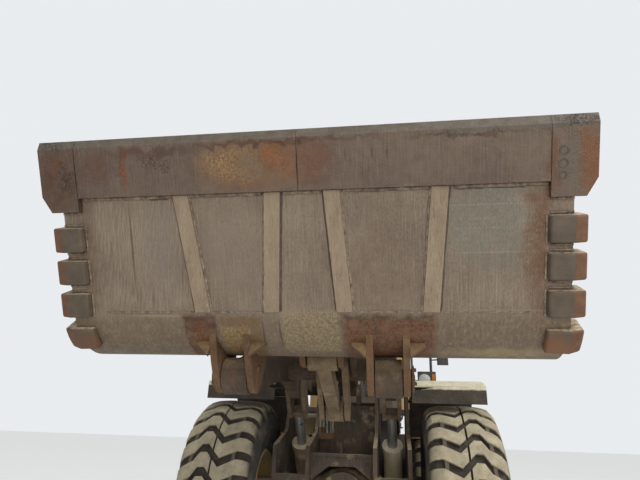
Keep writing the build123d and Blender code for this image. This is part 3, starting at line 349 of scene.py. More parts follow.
shell_patches = at_height(0.0, 0.2, [  # u, y, reach along u and y, colour, strength, kind
    (0.60, 1.12, 0.46, 0.40, "757264", 0.8, "cloud"),       # grey-green scour on the right
    (0.45, -0.95, 0.5, 0.16, "7C7366", 0.6, "cloud"),
    (0.30, 0.50, 0.5, 0.30, "6C5A4B", 0.6, "cloud"),
    (0.45, -0.45, 0.5, 0.26, "827465", 0.6, "cloud"),
    (0.44, 1.41, 0.60, 0.10, "70513A", 0.9, "cloud"),       # brown stain beside the shrouds
    (0.42, -1.45, 0.55, 0.10, "6B5645", 0.8, "cloud")])
shell_patches += at_height(0.0, 0.1, [
    (0.46, -1.135, 0.36, 0.011, "54483E", 0.85, "line"),    # a gouge in the left panel
    (0.658, 1.10, 0.006, 0.36, "978A76", 0.45, "line"),     # cross scratches on the right
    (0.372, 1.16, 0.007, 0.30, "998C78", 0.45, "line"),
    (0.52, 1.15, 0.005, 0.22, "938672", 0.35, "line"),
    (0.575, 1.05, 0.004, 0.14, "938672", 0.35, "line"),
    (0.015, 1.18, 0.009, 0.42, "998A72", 0.45, "line"),
    (-0.02, -0.98, 0.012, 0.26, "998A72", 0.6, "line")])
shell_patches += at_height(0.06, 0.3, [
    (-0.20, -0.43, 0.19, 0.15, "6F5638", 0.85, "zone"),     # ochre rust left of the middle
    (-0.24, -0.47, 0.15, 0.11, "967A50", 0.85, "zone grain"),
    (-0.20, -0.71, 0.20, 0.12, "4F301E", 0.95, "zone"),     # orange rust
    (-0.22, -0.73, 0.18, 0.11, "85532B", 0.7, "grain"),
    (-0.20, 0.53, 0.20, 0.31, "47301F", 0.95, "zone")])     # red rust over the right arm
shell_patches += at_height(0.08, 0.3, [(-0.22, 0.53, 0.19, 0.31, "7E4F33", 0.75, "zone grain")])
shell_patches += at_height(0.03, 0.3, [  # pale clay in the middle
    (-0.14, 0.03, 0.17, 0.20, "94835F", 0.85, "zone grain")])
shell_patches += at_height(0.13, 0.1, [(-0.30, 1.22, 0.08, 0.5, "9A8564", 0.9, "cloud")])  # sandy edge
shell_patches += at_height(0.03, 0.2, [
    (-0.16, -0.284, 0.15, 0.010, "4A3527", 0.8, "line"),
    (-0.16, -0.171, 0.15, 0.010, "4F3B2C", 0.8, "line")])
colour = lay_patches(colour, place, torn, shell_patches)
pits = clouds(place, 7, [(0.3, 0.0), (0.5, 1.0)], detail=4, stretch=(3, 1, 3))
rough_and_bumpy(shader, colour, pits, 2.2, clouds(place, 60, [(0.3, 0.52), (0.7, 0.78)]))
print("patches on the shell", len(shell_patches))

# %% [markdown]
# The cutting edge is a bolted bar of harder steel. Its lip is ground bright by the gravel and holds a
# band of pale clay with a ragged border, behind it the bar rusts red, and orange where it is fresh.
# The band is a range of U on shaken coordinates, and the rest is another table of patches.

# %% Bolted blade steel
blade_steel, shader, place = bucket_material("ground_boron_steel_blade", metallic=0.25)
torn = torn_place(place, 60, 0.13)
tone = clouds(place, 300, [(0.3, "56463B"), (0.52, "635245"), (0.75, "6E5D4F")])
streak = clouds(place, 9, [(0.45, 0.0), (0.7, 0.5)], detail=3, stretch=(18, 1, 4))
colour = coat(tone, "7C6B59", streak)
blade_patches = at_height(-0.04, 0.2, [
    (0.95, -0.26, 0.20, 0.46, "735136", 0.95, "cloud"),     # rust over the middle left
    (0.96, -0.36, 0.14, 0.32, "9C7D50", 0.85, "grain"),
    (0.96, -0.26, 0.13, 0.22, "5A5248", 0.7, "grain"),
    (0.99, -0.13, 0.13, 0.12, "66452B", 0.9, "cloud"),
    (1.00, -0.15, 0.09, 0.08, "8E5527", 0.8, "grain"),
    (0.95, -0.05, 0.13, 0.10, "8A5A38", 0.7, "grain"),
    (0.96, 0.10, 0.20, 0.18, "5D4130", 0.85, "cloud"),
    (0.96, 0.06, 0.15, 0.14, "775039", 0.6, "grain"),
    (1.078, -0.12, 0.024, 0.70, "4C3224", 0.95, "cloud"),   # red line behind the lip
    (1.068, 1.02, 0.020, 0.42, "443026", 0.9, "cloud"),
    (1.05, -0.93, 0.04, 0.40, "50392D", 0.9, "cloud"),
    (0.98, -1.13, 0.17, 0.040, "5A3825", 1.0, "cloud"),     # red streak on the left
    (0.96, -1.12, 0.15, 0.03, "85502B", 0.8, "grain"),
    (0.97, -1.32, 0.14, 0.14, "5F4030", 0.7, "cloud"),
    (1.00, -0.94, 0.06, 0.09, "3F3028", 0.9, "grain"),
    (0.97, -0.84, 0.05, 0.07, "44352C", 0.9, "grain"),
    (0.98, 0.294, 0.05, 0.007, "41352D", 0.7, "line"),      # short scratches
    (0.99, 0.455, 0.05, 0.008, "3C3029", 0.7, "line"),
    (0.985, 0.542, 0.05, 0.008, "3C3029", 0.7, "line"),
    (0.92, 1.470, 0.30, 0.045, "63442F", 0.95, "cloud"),    # rusty sides of the right end bit
    (0.88, 1.68, 0.27, 0.11, "724A2C", 1.0, "cloud"),
    (0.90, 1.565, 0.22, 0.05, "645C4C", 0.7, "cloud"),
    (0.90, -1.60, 0.34, 0.24, "543B2B", 1.0, "cloud"),      # brown left end bit
    (0.98, -1.56, 0.12, 0.09, "64442D", 0.7, "cloud"),
    (0.93, -1.54, 0.12, 0.05, "30261F", 0.95, "grain"),
    (0.88, -1.50, 0.10, 0.05, "30261F", 0.8, "grain"),
    (0.93, 1.459, 0.24, 0.006, "2A211B", 0.9, "line"),      # dirt in the three seams
    (0.93, -1.459, 0.24, 0.007, "2A211B", 0.95, "line"),
    (0.93, 0.0, 0.20, 0.006, "2A211B", 0.95, "line")])
colour = lay_patches(colour, place, torn, blade_patches)
wide_part = patch(place, (1.1, 1.25, 0), (1.0, 0.5, 1.0), 0.6)
start = add_node(place, "MapRange", {"Value": wide_part, "To Min": 1.118, "To Max": 1.088}, output="Result")
drip = clouds(place, 16, [(0.3, 0.0), (0.7, 1.0)], detail=3, stretch=(4, 1, 4))
shaken_u = add_node(place, "SeparateXYZ", {0: torn_place(place, 50, 0.06)}, output="X")
shaken_u = add_node(place, "Math", {0: drip, 1: 0.03, 2: shaken_u}, output=0, operation="MULTIPLY_ADD")
past = add_node(place, "Math", {0: shaken_u, 1: start}, output=0, operation="SUBTRACT")
band = add_node(place, "MapRange", {"Value": past, "From Min": -0.003, "From Max": 0.004}, output="Result")
band_tone = clouds(place, 60, [(0.3, "544A3E"), (0.55, "62594C"), (0.8, "70675A")])
colour = coat(colour, band_tone, band, 0.92)
grain = clouds(place, 13, [(0.42, 0.0), (0.55, 1.0)], detail=3)
for middle, reach, dirt in (((1.13, -1.62, 0), (0.05, 0.12, 0.2), "40382F"),
                            ((1.12, 1.60, 0), (0.05, 0.14, 0.2), "3A332B")):
    colour = coat(colour, dirt, patch(torn, middle, reach), grain)
pits = clouds(place, 8, [(0.35, 0.0), (0.6, 1.0)], detail=4)
rough_and_bumpy(shader, colour, pits, 2.0, clouds(place, 50, [(0.3, 0.42), (0.7, 0.74)]))
print("patches on the blade", len(blade_patches))

# %% [markdown]
# Wear strips are bars of hard plate welded under the floor. They touch the ground first, so they are
# the brightest steel of the bucket, rough and tan with clay. The stretch of the noise along U gives
# them the torn look of a scraped bar.

# %% Scraped wear strips
strip_steel, shader, place = bucket_material("scraped_wear_strip_steel", metallic=0.2)
tone = clouds(place, 90, [(0.25, "7B6B57"), (0.5, "927F69"), (0.75, "9F8E76")], stretch=(3, 1, 1))
flecks = clouds(place, 7, [(0.52, 0.0), (0.66, 0.8)], detail=3, stretch=(6, 1, 1))
scores = clouds(place, 8, [(0.28, 0.8), (0.42, 0.0)], detail=3, stretch=(12, 1, 1))
rough_and_bumpy(shader, coat(coat(tone, "AE9C86", flecks), "66584A", scores), flecks, 3.0)

# %% [markdown]
# The corner shrouds are castings hammered over the bucket's edge. Their faces are dark with ground-in
# dirt, their slanted outer sides show fresh orange rust and their tops carry pale dust. The distance
# from the middle tells the first two apart, and the object-space normal finds the tops.

# %% Rusty shroud castings
shroud_casting, shader, place = bucket_material("rusty_shroud_casting")
tone = clouds(place, 90, [(0.3, "4C4134"), (0.55, "5B4E3F"), (0.8, "6A5B49")])
rust = clouds(place, 60, [(0.3, "563B28"), (0.55, "6B482F"), (0.8, "7D593C")])
across = add_node(place, "VectorMath", {0: place}, output=0, operation="ABSOLUTE")
colour = coat(tone, rust, border(across, "Y", 1.592, 1.602))
torn = torn_place(place, 60, 0.05)
for y, stain in ((1.50, "7A5233"), (-1.52, "6B4A30")):
    colour = coat(colour, stain, patch(torn, (-0.25, y, 0.1), (0.17, 0.16, 0.3)), 0.8)
dust = clouds(place, 25, [(0.35, 0.2), (0.55, 1.0)])
colour = coat(colour, "BBAA8C", looking_up(place, 0.35, 0.75), dust)
rough_and_bumpy(shader, colour, clouds(place, 6, [(0.3, 0.0), (0.7, 1.0)]), 1.5)

# %% [markdown]
# Weld beads are laid by hand in ripples, so they are lighter where dust holds on the ripples and dark
# in the toes. The material only gives the tone: the ripples are in the mesh. A second, darker finish is
# painted shadow beside the wear strips and behind the blade, and it also colours the blade's bolt rings.

# %% Weld metal
weld_metal = simple_finish(
    "dusty_weld_metal", 35, [(0.32, "54473A"), (0.5, "7C6C5A"), (0.68, "9A8B74")], 1.0, metallic=0.1)
# Painted shadow: this darker weld finish stands for the shade along one side of each wear strip and behind
# the blade; the blade's bolt rings use it too.
darker_weld_and_painted_shadow = simple_finish(
    "darker_weld_metal_and_painted_shadow", 45, [(0.3, "3A3029"), (0.6, "54473B"), (0.8, "7A6A57")], 1.0)

# %% [markdown]
# The arms, the lever, the brackets and the frames were painted once. What shows now is clay over rust
# brown: dark where it is wet and out of the wind, tan where it dried, pale on faces that look up. All
# these paints are one idea at several depths of brown, so they share one function.

# %% Clay-caked paint of the arms and frames
def caked_paint(name, deep, middle, dry, crust, crust_share, rust_share=0.35):
    """Old enamel under clay: dark, middle and dry tones, rust flecks and a pale crust on what looks up."""
    material, shader, place = new_material(name, roughness=0.8)
    tone = clouds(place, 260, [(0.28, deep), (0.5, middle), (0.74, dry)], detail=6)
    drips = clouds(place, 18, [(0.5, 0.0), (0.7, 0.6)], detail=3, stretch=(1, 1, 9))
    flecks = clouds(place, 45, [(0.52, 0.0), (0.62, 1.0)])
    colour = coat(coat(tone, dry, drips), "6B452C", flecks, rust_share)
    loose = clouds(place, 60, [(0.32, 0.25), (0.56, 1.0)], detail=6)
    colour = coat(colour, crust, looking_up(place, 0.25, 0.8), loose)
    caked = clouds(place, 170, [(0.56, 0.0), (0.64, 1.0)], detail=7)
    lumps = clouds(place, 22, [(0.3, 0.0), (0.75, 1.0)], detail=6)
    rough_and_bumpy(shader, coat(colour, crust, caked, crust_share), lumps, 5.0)
    return material


arm_paint = caked_paint("clay_on_arm_enamel", "32281F", "45382A", "5C4C39", "8C7A5D", 0.25)
bracket_paint = caked_paint("clay_on_bracket_steel", "463120", "5F462E", "765839", "957D58", 0.2)
lever_paint = caked_paint("dry_clay_on_lever_enamel", "524534", "73624B", "917E62", "B3A07E", 0.4)
frame_paint = caked_paint("clay_on_frame_enamel", "352D26", "4A4036", "655745", "A89676", 0.45)
barrel_clay = caked_paint("dried_clay_on_cylinder", "6A5C48", "8F7E63", "B3A27F", "CFC09D", 0.7, 0.1)
# Very pale caked clay for the left lift barrel, with painted sunlight: it is made bright although it stands
# in shade.
thick_clay_and_painted_sunlight = caked_paint("thick_pale_clay_and_painted_sunlight_on_cylinder", "A89878", "CDBF9E", "DED2B4", "E8DDC2", 0.9, 0.05)

# %% [markdown]
# The bodywork is ochre construction enamel, sprayed and baked, which would be glossy when clean. This
# one is faded and dusty: the dust lies on what looks up and thickens towards the ground, and small
# chips show the primer. A thin coat on the shader keeps the sheen of enamel where the dust is thin.

# %% Ochre enamel under dust
ochre_enamel, shader, place = new_material("dusty_ochre_enamel", roughness=0.45)
shader.inputs["Coat Weight"].default_value = 0.25
shader.inputs["Coat Roughness"].default_value = 0.3
tone = clouds(place, 700, [(0.3, "AC8540"), (0.55, "B9914A"), (0.8, "B09052")])
low_down = border(place, "Z", 2.6, 0.6)
low_down = add_node(place, "MapRange", {"Value": low_down, "To Min": 0.4, "To Max": 0.95}, output="Result")
mist = clouds(place, 240, [(0.28, 0.25), (0.68, 1.0)], detail=7)
runs = clouds(place, 30, [(0.46, 0.0), (0.7, 0.5)], detail=4, stretch=(1, 1, 14))
colour = coat(coat(tone, "A08F6F", mist, low_down), "7E6A48", runs)
colour = coat(colour, "BDAE8C", looking_up(place, 0.3, 0.9), mist)
cab_front = patch(place, (-0.70, 0, 1.75), (0.12, 3.0, 0.60), 0.7)
mud = clouds(place, 140, [(0.3, "332C24"), (0.6, "4A4034"), (0.8, "665845")])
colour = coat(colour, mud, cab_front, 0.92)
colour = coat(colour, "4E4033", clouds(place, 26, [(0.68, 0.0), (0.7, 1.0)], detail=2))
rough_and_bumpy(shader, colour, mist, 0.6, clouds(place, 200, [(0.3, 0.38), (0.65, 0.78)], detail=6))

# %% [markdown]
# The front fenders are pressed sheet. Cream dust lies on their tops and on the edge that faces
# forward, painted as bright as in sunlight, and the wheels throw black mud at the rest, which is
# also painted darker as the shade under the fender. A border on shaken coordinates parts the two.

# %% Fender sheet: cream dust and painted sunlight on top, black mud and painted shade below
fender_sheet, shader, place = new_material("fender_dust_and_mud_with_painted_sun_and_shade", roughness=0.85)
# The dark base is mud and painted shade; the cream is dust and painted sunlight.
tone = clouds(place, 160, [(0.3, "2F2923"), (0.55, "453B31"), (0.8, "5F513F")], detail=6)
dust = clouds(place, 70, [(0.25, "BDAE8E"), (0.5, "D8CDB2"), (0.75, "E4DCC6")], detail=6)
top_edge = border(torn_place(place, 40, 0.02), "Z", 2.003, 2.018)
in_front = border(place, "X", 1.755, 1.765)
colour = coat(coat(tone, dust, looking_up(place, 0.2, 0.6)), dust, top_edge, in_front)
rough_and_bumpy(shader, colour, clouds(place, 30, [(0.3, 0.0), (0.75, 1.0)], detail=6), 4.0)

# %% [markdown]
# Steps, rails, lamps and guards are black enamel that has gone grey. The dust again lies on top, and a
# stretched noise gives the scuffs that boots leave.

# %% Black enamel gone grey
black_enamel, shader, place = new_material("greyed_black_enamel", roughness=0.55)
tone = clouds(place, 180, [(0.3, "262524"), (0.6, "35322E"), (0.82, "4B463E")], detail=6)
scuffs = clouds(place, 12, [(0.6, 0.0), (0.72, 0.6)], detail=3, stretch=(8, 1, 1))
dust = clouds(place, 90, [(0.3, 0.15), (0.62, 1.0)], detail=6)
colour = coat(coat(tone, "7A7265", scuffs), "A39A86", looking_up(place, 0.4, 0.9), dust)
rough_and_bumpy(shader, colour, dust, 0.8, clouds(place, 90, [(0.3, 0.4), (0.7, 0.75)]))

# %% [markdown]
# A cylinder's rod is hard chrome, ground and polished, so it mirrors the sky in a thin bright line.
# Its fork is painted forging. Both are one CAD node, so the position along the rod tells them apart:
# a Mapping node measures from the cylinder's foot, and past the fork's root the paint takes over.

# %% Chrome rods with painted forks
def rod_material(name, foot, turn, fork_from, fork_to):
    """Hard chrome that gives way to clay-caked forging between two lengths from the cylinder's foot."""
    material, shader, place = new_material(name)
    fork = border(measured_from(place, foot, turn), "X", fork_from, fork_to)
    smear = clouds(place, 160, [(0.35, 0.12), (0.65, 0.6)])
    dull = add_node(place, "Math", {0: fork, 1: smear}, output=0, operation="MAXIMUM")
    metal = add_node(place, "MapRange", {"Value": dull, "To Min": 1.0, "To Max": 0.05}, output="Result")
    rough = add_node(place, "MapRange", {"Value": dull, "To Min": 0.16, "To Max": 0.82}, output="Result")
    forging = clouds(place, 80, [(0.3, "4E4032"), (0.55, "6C5B45"), (0.8, "8C7A5E")], detail=6)
    feed(shader, Metallic=metal)
    rough_and_bumpy(shader, coat("B9BABA", forging, dull), forging, 1.0, rough)
    return material


def centre_of(node):
    """The middle of a node's box."""
    low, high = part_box(node)
    return (low + high) / 2


axle_ahead = 1.9  # of the centre hinge, in metres
hinge_x = centre_of("front_left_tyre").x - axle_ahead
lift_turn, tilt_turn, steer_turn = math.asin(0.738146), math.asin(0.381212), 0.026
rod_rows = [  # rod, its cylinder's foot, turn about X, Y and Z, lengths where the fork begins and is whole
    ("lift_rod_left", (hinge_x + 0.95, 0.52, 0.6), (0, -lift_turn, 0), 1.53, 1.55),
    ("lift_rod_right", (hinge_x + 0.95, -0.52, 0.6), (0, -lift_turn, 0), 1.53, 1.55),
    ("tilt_rod", (hinge_x + 1.48, 0, 2.07), (0, -tilt_turn, 0), 2.09, 2.11),
    ("steer_rod_left", (hinge_x - 0.76, 0.43, 0.975), (0, 0, -steer_turn), 1.09, 1.1),
    ("steer_rod_right", (hinge_x - 0.76, -0.43, 0.975), (0, 0, steer_turn), 1.09, 1.1)]
rod_finishes = {rod: rod_material(f"hard_chrome_{rod}", *row) for rod, *row in rod_rows}
print("rods", len(rod_finishes), "hinge x", round(hinge_x, 4))

# %% [markdown]
# Cast iron of the engine is oily and dark, the exhaust's steel has burnt brown, and the cab of a
# machine like this has a plastic console. Each has its own grain: sand-cast lumps of 3 mm, scale, and
# a fine leather-like moulding that is drawn at 4 mm, coarser than real, so that it shows.

# %% Engine iron, burnt steel and console plastic
engine_iron = simple_finish(
    "oily_sand_cast_iron", 150, [(0.3, "38352F"), (0.6, "4F4A42"), (0.8, "6B6150")], 1.0, detail=6,
    grain=(3, [(0.3, 0.0), (0.7, 1.0)]), roughness=0.6, metallic=0.3)
burnt_steel = simple_finish(
    "burnt_exhaust_steel", 90, [(0.3, "3B322C"), (0.55, "5A4536"), (0.8, "77604A")], 1.0, detail=6,
    grain=(12, [(0.3, 0.0), (0.7, 1.0)]), metallic=0.4)
console_plastic = simple_finish(
    "grained_abs_console", 200, [(0.3, "2A2B2D"), (0.7, "38393B")], 0.4,
    grain=(4, [(0.35, 0.0), (0.65, 1.0)], 1), roughness=0.6)

# %% [markdown]
# Cab windows are tempered glass with a light grey tint. Glass is seen by what it mirrors and by its
# dust, so the material is a transmitting shader with a low share of dusty haze that noise breaks up.

# %% Tinted glass and lamp lenses
cab_glass, shader, place = new_material("tinted_tempered_glass")
shader.inputs["Transmission Weight"].default_value = 0.9
shader.inputs["IOR"].default_value = 1.5
feed(shader, Base_Color=clouds(place, 220, [(0.3, "C8D0CF"), (0.7, "DDE0DA")], detail=6),
     Roughness=clouds(place, 160, [(0.4, 0.03), (0.75, 0.28)], detail=6))


rib_scale = 1000 / 6.28  # over a size in mm: a wave repeats every pi / 10 / scale, so at 1.97 times the size


def lens_material(name, first, second):
    """Moulded polycarbonate lens: ribs every 18 mm under a dusty face."""
    material, shader, place = new_material(name, roughness=0.2)
    shader.inputs["Transmission Weight"].default_value = 0.3
    wave = {"Vector": place, "Scale": rib_scale / 9}
    ribs = add_node(place, "TexWave", wave, output="Fac", bands_direction="Z")
    rough_and_bumpy(shader, clouds(place, 60, [(0.3, first), (0.7, second)]), ribs, 1.0)
    return material


clear_lens = lens_material("clear_lamp_lens", "C9CBC4", "DCDDD6")
red_lens = lens_material("red_lamp_lens", "8C2A20", "A63A2C")
amber_lens = lens_material("amber_lamp_lens", "B9721E", "CC8A33")

# %% [markdown]
# The seat's cloth is a plain weave of thick grey yarn, about 6 mm from thread to thread when drawn so
# that it shows. Two crossing waves multiply into the weave, and sheen gives the soft edge.

# %% Seat cloth
seat_cloth, shader, place = new_material("woven_seat_cloth", roughness=0.9)
shader.inputs["Sheen Weight"].default_value = 0.35
warp, weft = (add_node(place, "TexWave", {"Vector": place, "Scale": rib_scale / 3}, output="Fac",
                       bands_direction=direction) for direction in ("Y", "DIAGONAL"))
weave = add_node(place, "Math", {0: warp, 1: weft}, output=0, operation="MULTIPLY")
tone = clouds(place, 120, [(0.3, "33353A"), (0.7, "43464B")])
rough_and_bumpy(shader, coat(tone, "5A5C60", weave, 0.6), weave, 0.8)

# %% [markdown]
# Tyre rubber is black only when new. Here clay has dried grey on the block tops, which are also
# painted lighter as sunlit, the grooves turn a darker brown the deeper they go, and the sidewalls are
# streaked. The mesh carries two attributes: one is 0 on a block's top and 1 at a groove's bottom, the
# other 1 on the tread and 0 on the walls, so the colours follow the tread exactly on all four tyres.

# %% Dusty tyre rubber, with painted sunlight on the block tops
tyre_rubber, shader, place = new_material("dusty_tyre_rubber_with_painted_sunlight", roughness=0.9)
groove, tread = (add_node(place, "Attribute", output="Fac", attribute_name=name)
                 for name in ("groove_share", "tread_share"))
wall = clouds(place, 130, [(0.3, "3A3733"), (0.5, "4C4842"), (0.72, "746A5B")], detail=6)
# Block tops: dried clay grey, painted lighter still as if in sunlight.
top = clouds(place, 110, [(0.28, "8D8470"), (0.5, "A79C82"), (0.75, "BFB497")], detail=6)
top = coat(top, "55504A", clouds(place, 16, [(0.62, 0.0), (0.7, 0.8)], detail=3))
# The grooves are darker brown, the more so towards their bottoms.
groove_darkening = clouds(place, 60, [(0.3, "2C2722"), (0.55, "403830"), (0.8, "5A4D3F")])
deep = {"Value": groove, "From Min": 0.1, "From Max": 0.45}
in_groove = add_node(place, "MapRange", deep, output="Result")
colour = coat(coat(wall, top, tread), groove_darkening, in_groove)
rough_and_bumpy(shader, colour, clouds(place, 9, [(0.3, 0.0), (0.7, 1.0)]), 1.2)

# %% [markdown]
# Every CAD node that keeps its shape gets its finish by name. The table is read once, and what it
# doesn't name falls to the finish of its slot in the record, so no node can be left bare.

# %% Finishes for the CAD nodes
slot_of = {row["node"]: row["material_slot"] for row in frame["record"]["subparts"]}
slot_finish = {"tyre_rubber": tyre_rubber, "worn_steel": scoured_plate, "blade_steel": blade_steel,
               "chrome_rod": rod_finishes["tilt_rod"], "cab_glass": cab_glass, "seat_fabric": seat_cloth,
               "black_paint": black_enamel, "engine_iron": engine_iron, "frame_paint": frame_paint,
               "yellow_paint": ochre_enamel}
node_finish = {"wear_strips": strip_steel, "corner_shrouds": shroud_casting, "boom": arm_paint,
               "cutting_edges": blade_steel, "bucket_shell": scoured_plate, "bucket_brackets": bracket_paint,
               "tilt_barrel": arm_paint, "tilt_lever": lever_paint, "bucket_link": lever_paint,
               "lift_barrel_left": thick_clay_and_painted_sunlight, "lift_barrel_right": barrel_clay,
               "steer_barrel_left": frame_paint, "steer_barrel_right": frame_paint,
               "front_fenders": fender_sheet, "console": console_plastic, "exhaust_stack": burnt_steel,
               **rod_finishes}
for name, node in nodes.items():
    node.data.materials.clear()
    node.data.materials.append(node_finish.get(name, slot_finish[slot_of[name]]))
print("nodes with a finish", len(nodes))

# %% [markdown]
# New pieces are surfaces worked out as arrays. These helpers cover them: quads between the rows and
# columns of a grid, a round profile carried along a path, a profile turned round an axis, an outline
# given depth, a box, and one mesh joined from many. The last one makes the object, gives it a body and
# turns its faces outward.

# %% Helpers for meshes
def grid_faces(rows, columns, wrap_rows=False, wrap_columns=False):
    """Quads of a grid numbered row by row: each joins a point to those of the next column and row."""
    row = np.arange(rows if wrap_rows else rows - 1)[:, None]
    column = np.arange(columns if wrap_columns else columns - 1)[None, :]
    next_row, next_column = (row + 1) % rows, (column + 1) % columns
    corners = (row * columns + column, row * columns + next_column,
               next_row * columns + next_column, next_row * columns + column)
    return np.stack([c.ravel() for c in np.broadcast_arrays(*corners)], 1).tolist()


def capped(points):
    """A mesh from rings of points: quads from ring to ring, and a cap at each end."""
    rings, sides = points.shape[:2]
    caps = [list(range(sides)), list(range((rings - 1) * sides, rings * sides))]
    return points.reshape(-1, 3), grid_faces(rings, sides, wrap_columns=True) + caps


def unit(rows):
    """Rows of any length brought to length 1."""
    return rows / np.linalg.norm(rows, axis=-1, keepdims=True)


def around(axis):
    """The unit axis and two more square to it and to each other."""
    axis = unit(np.asarray(axis, float))
    first = unit(np.cross(axis, (0.31, 0.17, 0.93)))
    return axis, first, np.cross(axis, first)


def tube(path, radius, sides=8, upward=(0, 0, 1), flat=1.0):
    """A path's points plus radius times (cos a across + flat sin a upward), closed by a cap at each end."""
    path = np.asarray(path, float)
    way = unit(np.gradient(path, axis=0))
    across = unit(np.cross(way, np.asarray(upward, float)))
    square = np.cross(across, way)
    angle = np.linspace(0, 2 * np.pi, sides, endpoint=False)[None, :, None]
    ring = np.cos(angle) * across[:, None, :] + flat * np.sin(angle) * square[:, None, :]
    return capped(path[:, None, :] + np.reshape(radius, (-1, 1, 1)) * ring)


def lathe(profile, sides, middle, axis):
    """A profile (radius, height) turned round an axis: middle + height along it + radius square to it."""
    axis, first, second = around(axis)
    radius, height = np.asarray(profile, float).T[:, :, None, None]
    angle = np.linspace(0, 2 * np.pi, sides, endpoint=False)[None, :, None]
    ring = np.cos(angle) * first + np.sin(angle) * second
    return capped(np.asarray(middle) + height * axis + radius * ring)


def prism(outline, depth):
    """A flat outline given depth: its points, the same points moved by depth, two caps and the sides."""
    outline = np.asarray(outline, float)
    return capped(np.stack([outline, outline + np.asarray(depth, float)]))


def joined(parts):
    """One mesh from many: the points end to end, and each part's faces counted on by those before it."""
    starts = np.cumsum([0] + [len(points) for points, _ in parts]).tolist()
    faces = [[corner + start for corner in face] for (_, part), start in zip(parts, starts) for face in part]
    return np.concatenate([points for points, _ in parts]), faces


def make_piece(name, parts, material, body, slot, sharp_deg=35, bevel_mm=0):
    """The object: one mesh from parts, faces outward, smooth but for edges sharper than sharp_deg."""
    points, faces = joined(parts)
    mesh = bpy.data.meshes.new(name)
    mesh.from_pydata(points.tolist(), [], faces)
    shape = bmesh.new()
    shape.from_mesh(mesh)
    bmesh.ops.recalc_face_normals(shape, faces=shape.faces)
    shape.to_mesh(mesh)
    shape.free()
    mesh.shade_smooth()
    mesh.set_sharp_from_angle(angle=math.radians(sharp_deg))
    mesh.materials.append(material)
    piece = bpy.data.objects.new(name, mesh)
    scene.collection.objects.link(piece)
    if bevel_mm:
        rounding = piece.modifiers.new("rounding", "BEVEL")
        rounding.width = bevel_mm / 1000
        rounding.segments = 3
        rounding.limit_method = "ANGLE"
    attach(piece, body)
    print(name, len(mesh.polygons), "faces on", body)
    return piece


def from_hinge(points):
    """Millimetres from the centre hinge to metres in the row's frame, for one point or many."""
    return np.asarray(points, float) / 1000 + (hinge_x, 0, 0)


def block(x_low, x_high, y_low, y_high, z_low, z_high):
    """A box between six values, in millimetres from the hinge."""
    corners = [(x_low, y_low), (x_high, y_low), (x_high, y_high), (x_low, y_high)]
    return prism(from_hinge([(x, y, z_low) for x, y in corners]), (0, 0, (z_high - z_low) / 1000))


# %% [markdown]
# The tyres are 26 pitches of blocks. Their grooves run across in a bent line: flat from the inner
# shoulder, down to a V, up again, then steeply down to the outer shoulder. A plain grid can't follow
# that with sharp edges, so this grid is sheared: every column is moved round the tyre by the groove's
# own line, and a column is then always wholly on a block, on a wall or in a groove. Rows follow the
# tyre's section. A narrow groove parts the two middle blocks, and tie bars cross the grooves.

# %% The sheared grid of a tread
pitches = 26
groove_line = np.array([  # share of the width from the inner shoulder, shift up in pitches
    (0.00, 0.00), (0.22, 0.00), (0.42, -0.36), (0.50, -0.06), (0.58, 0.26), (0.66, 0.24), (0.73, -0.16),
    (1.00, -0.62)])
column_table = np.array([  # share of the pitch, height: 1 on the block's top, 0 at the groove's bottom
    (0.00, 0.90), (0.02, 1.00), (0.30, 1.00), (0.60, 1.00), (0.625, 0.90), (0.665, 0.06), (0.69, 0.0),
    (0.93, 0.0), (0.96, 0.06)])
half_section = np.array([  # from the crown to the bead: across, radius, groove depth, all in mm
    (0, 935, 46), (60, 935, 46), (130, 934, 46), (190, 931, 46), (245, 925, 45), (290, 914, 44),
    (318, 898, 40), (338, 872, 32), (350, 842, 24), (358, 812, 14), (364, 790, 0), (371, 760, 0),
    (375, 725, 0), (374, 690, 0), (371, 655, 0), (377, 648, 0), (377, 636, 0), (369, 629, 0), (364, 580, 0),
    (354, 520, 0), (342, 470, 0), (331, 431, 0), (300, 412, 0), (262, 394, 0)])
tread_rows = np.array([  # share of the tread's width; close pairs stand at the edges of cuts and tie bars
    0.0, 0.07, 0.14, 0.22, 0.235, 0.275, 0.29, 0.34, 0.38, 0.42, 0.46, 0.497, 0.502, 0.516, 0.521, 0.55,
    0.58, 0.62, 0.66, 0.695, 0.73, 0.75, 0.79, 0.805, 0.86, 0.93, 1.0])
tread_end, tread_radius = 358, 860
tie_bars, tie_half, tie_height = (0.255, 0.77), 0.025, 0.62
cut_from, cut_to, cut_height = 0.501, 0.517, 0.25
print("columns round a tyre", pitches * len(column_table))


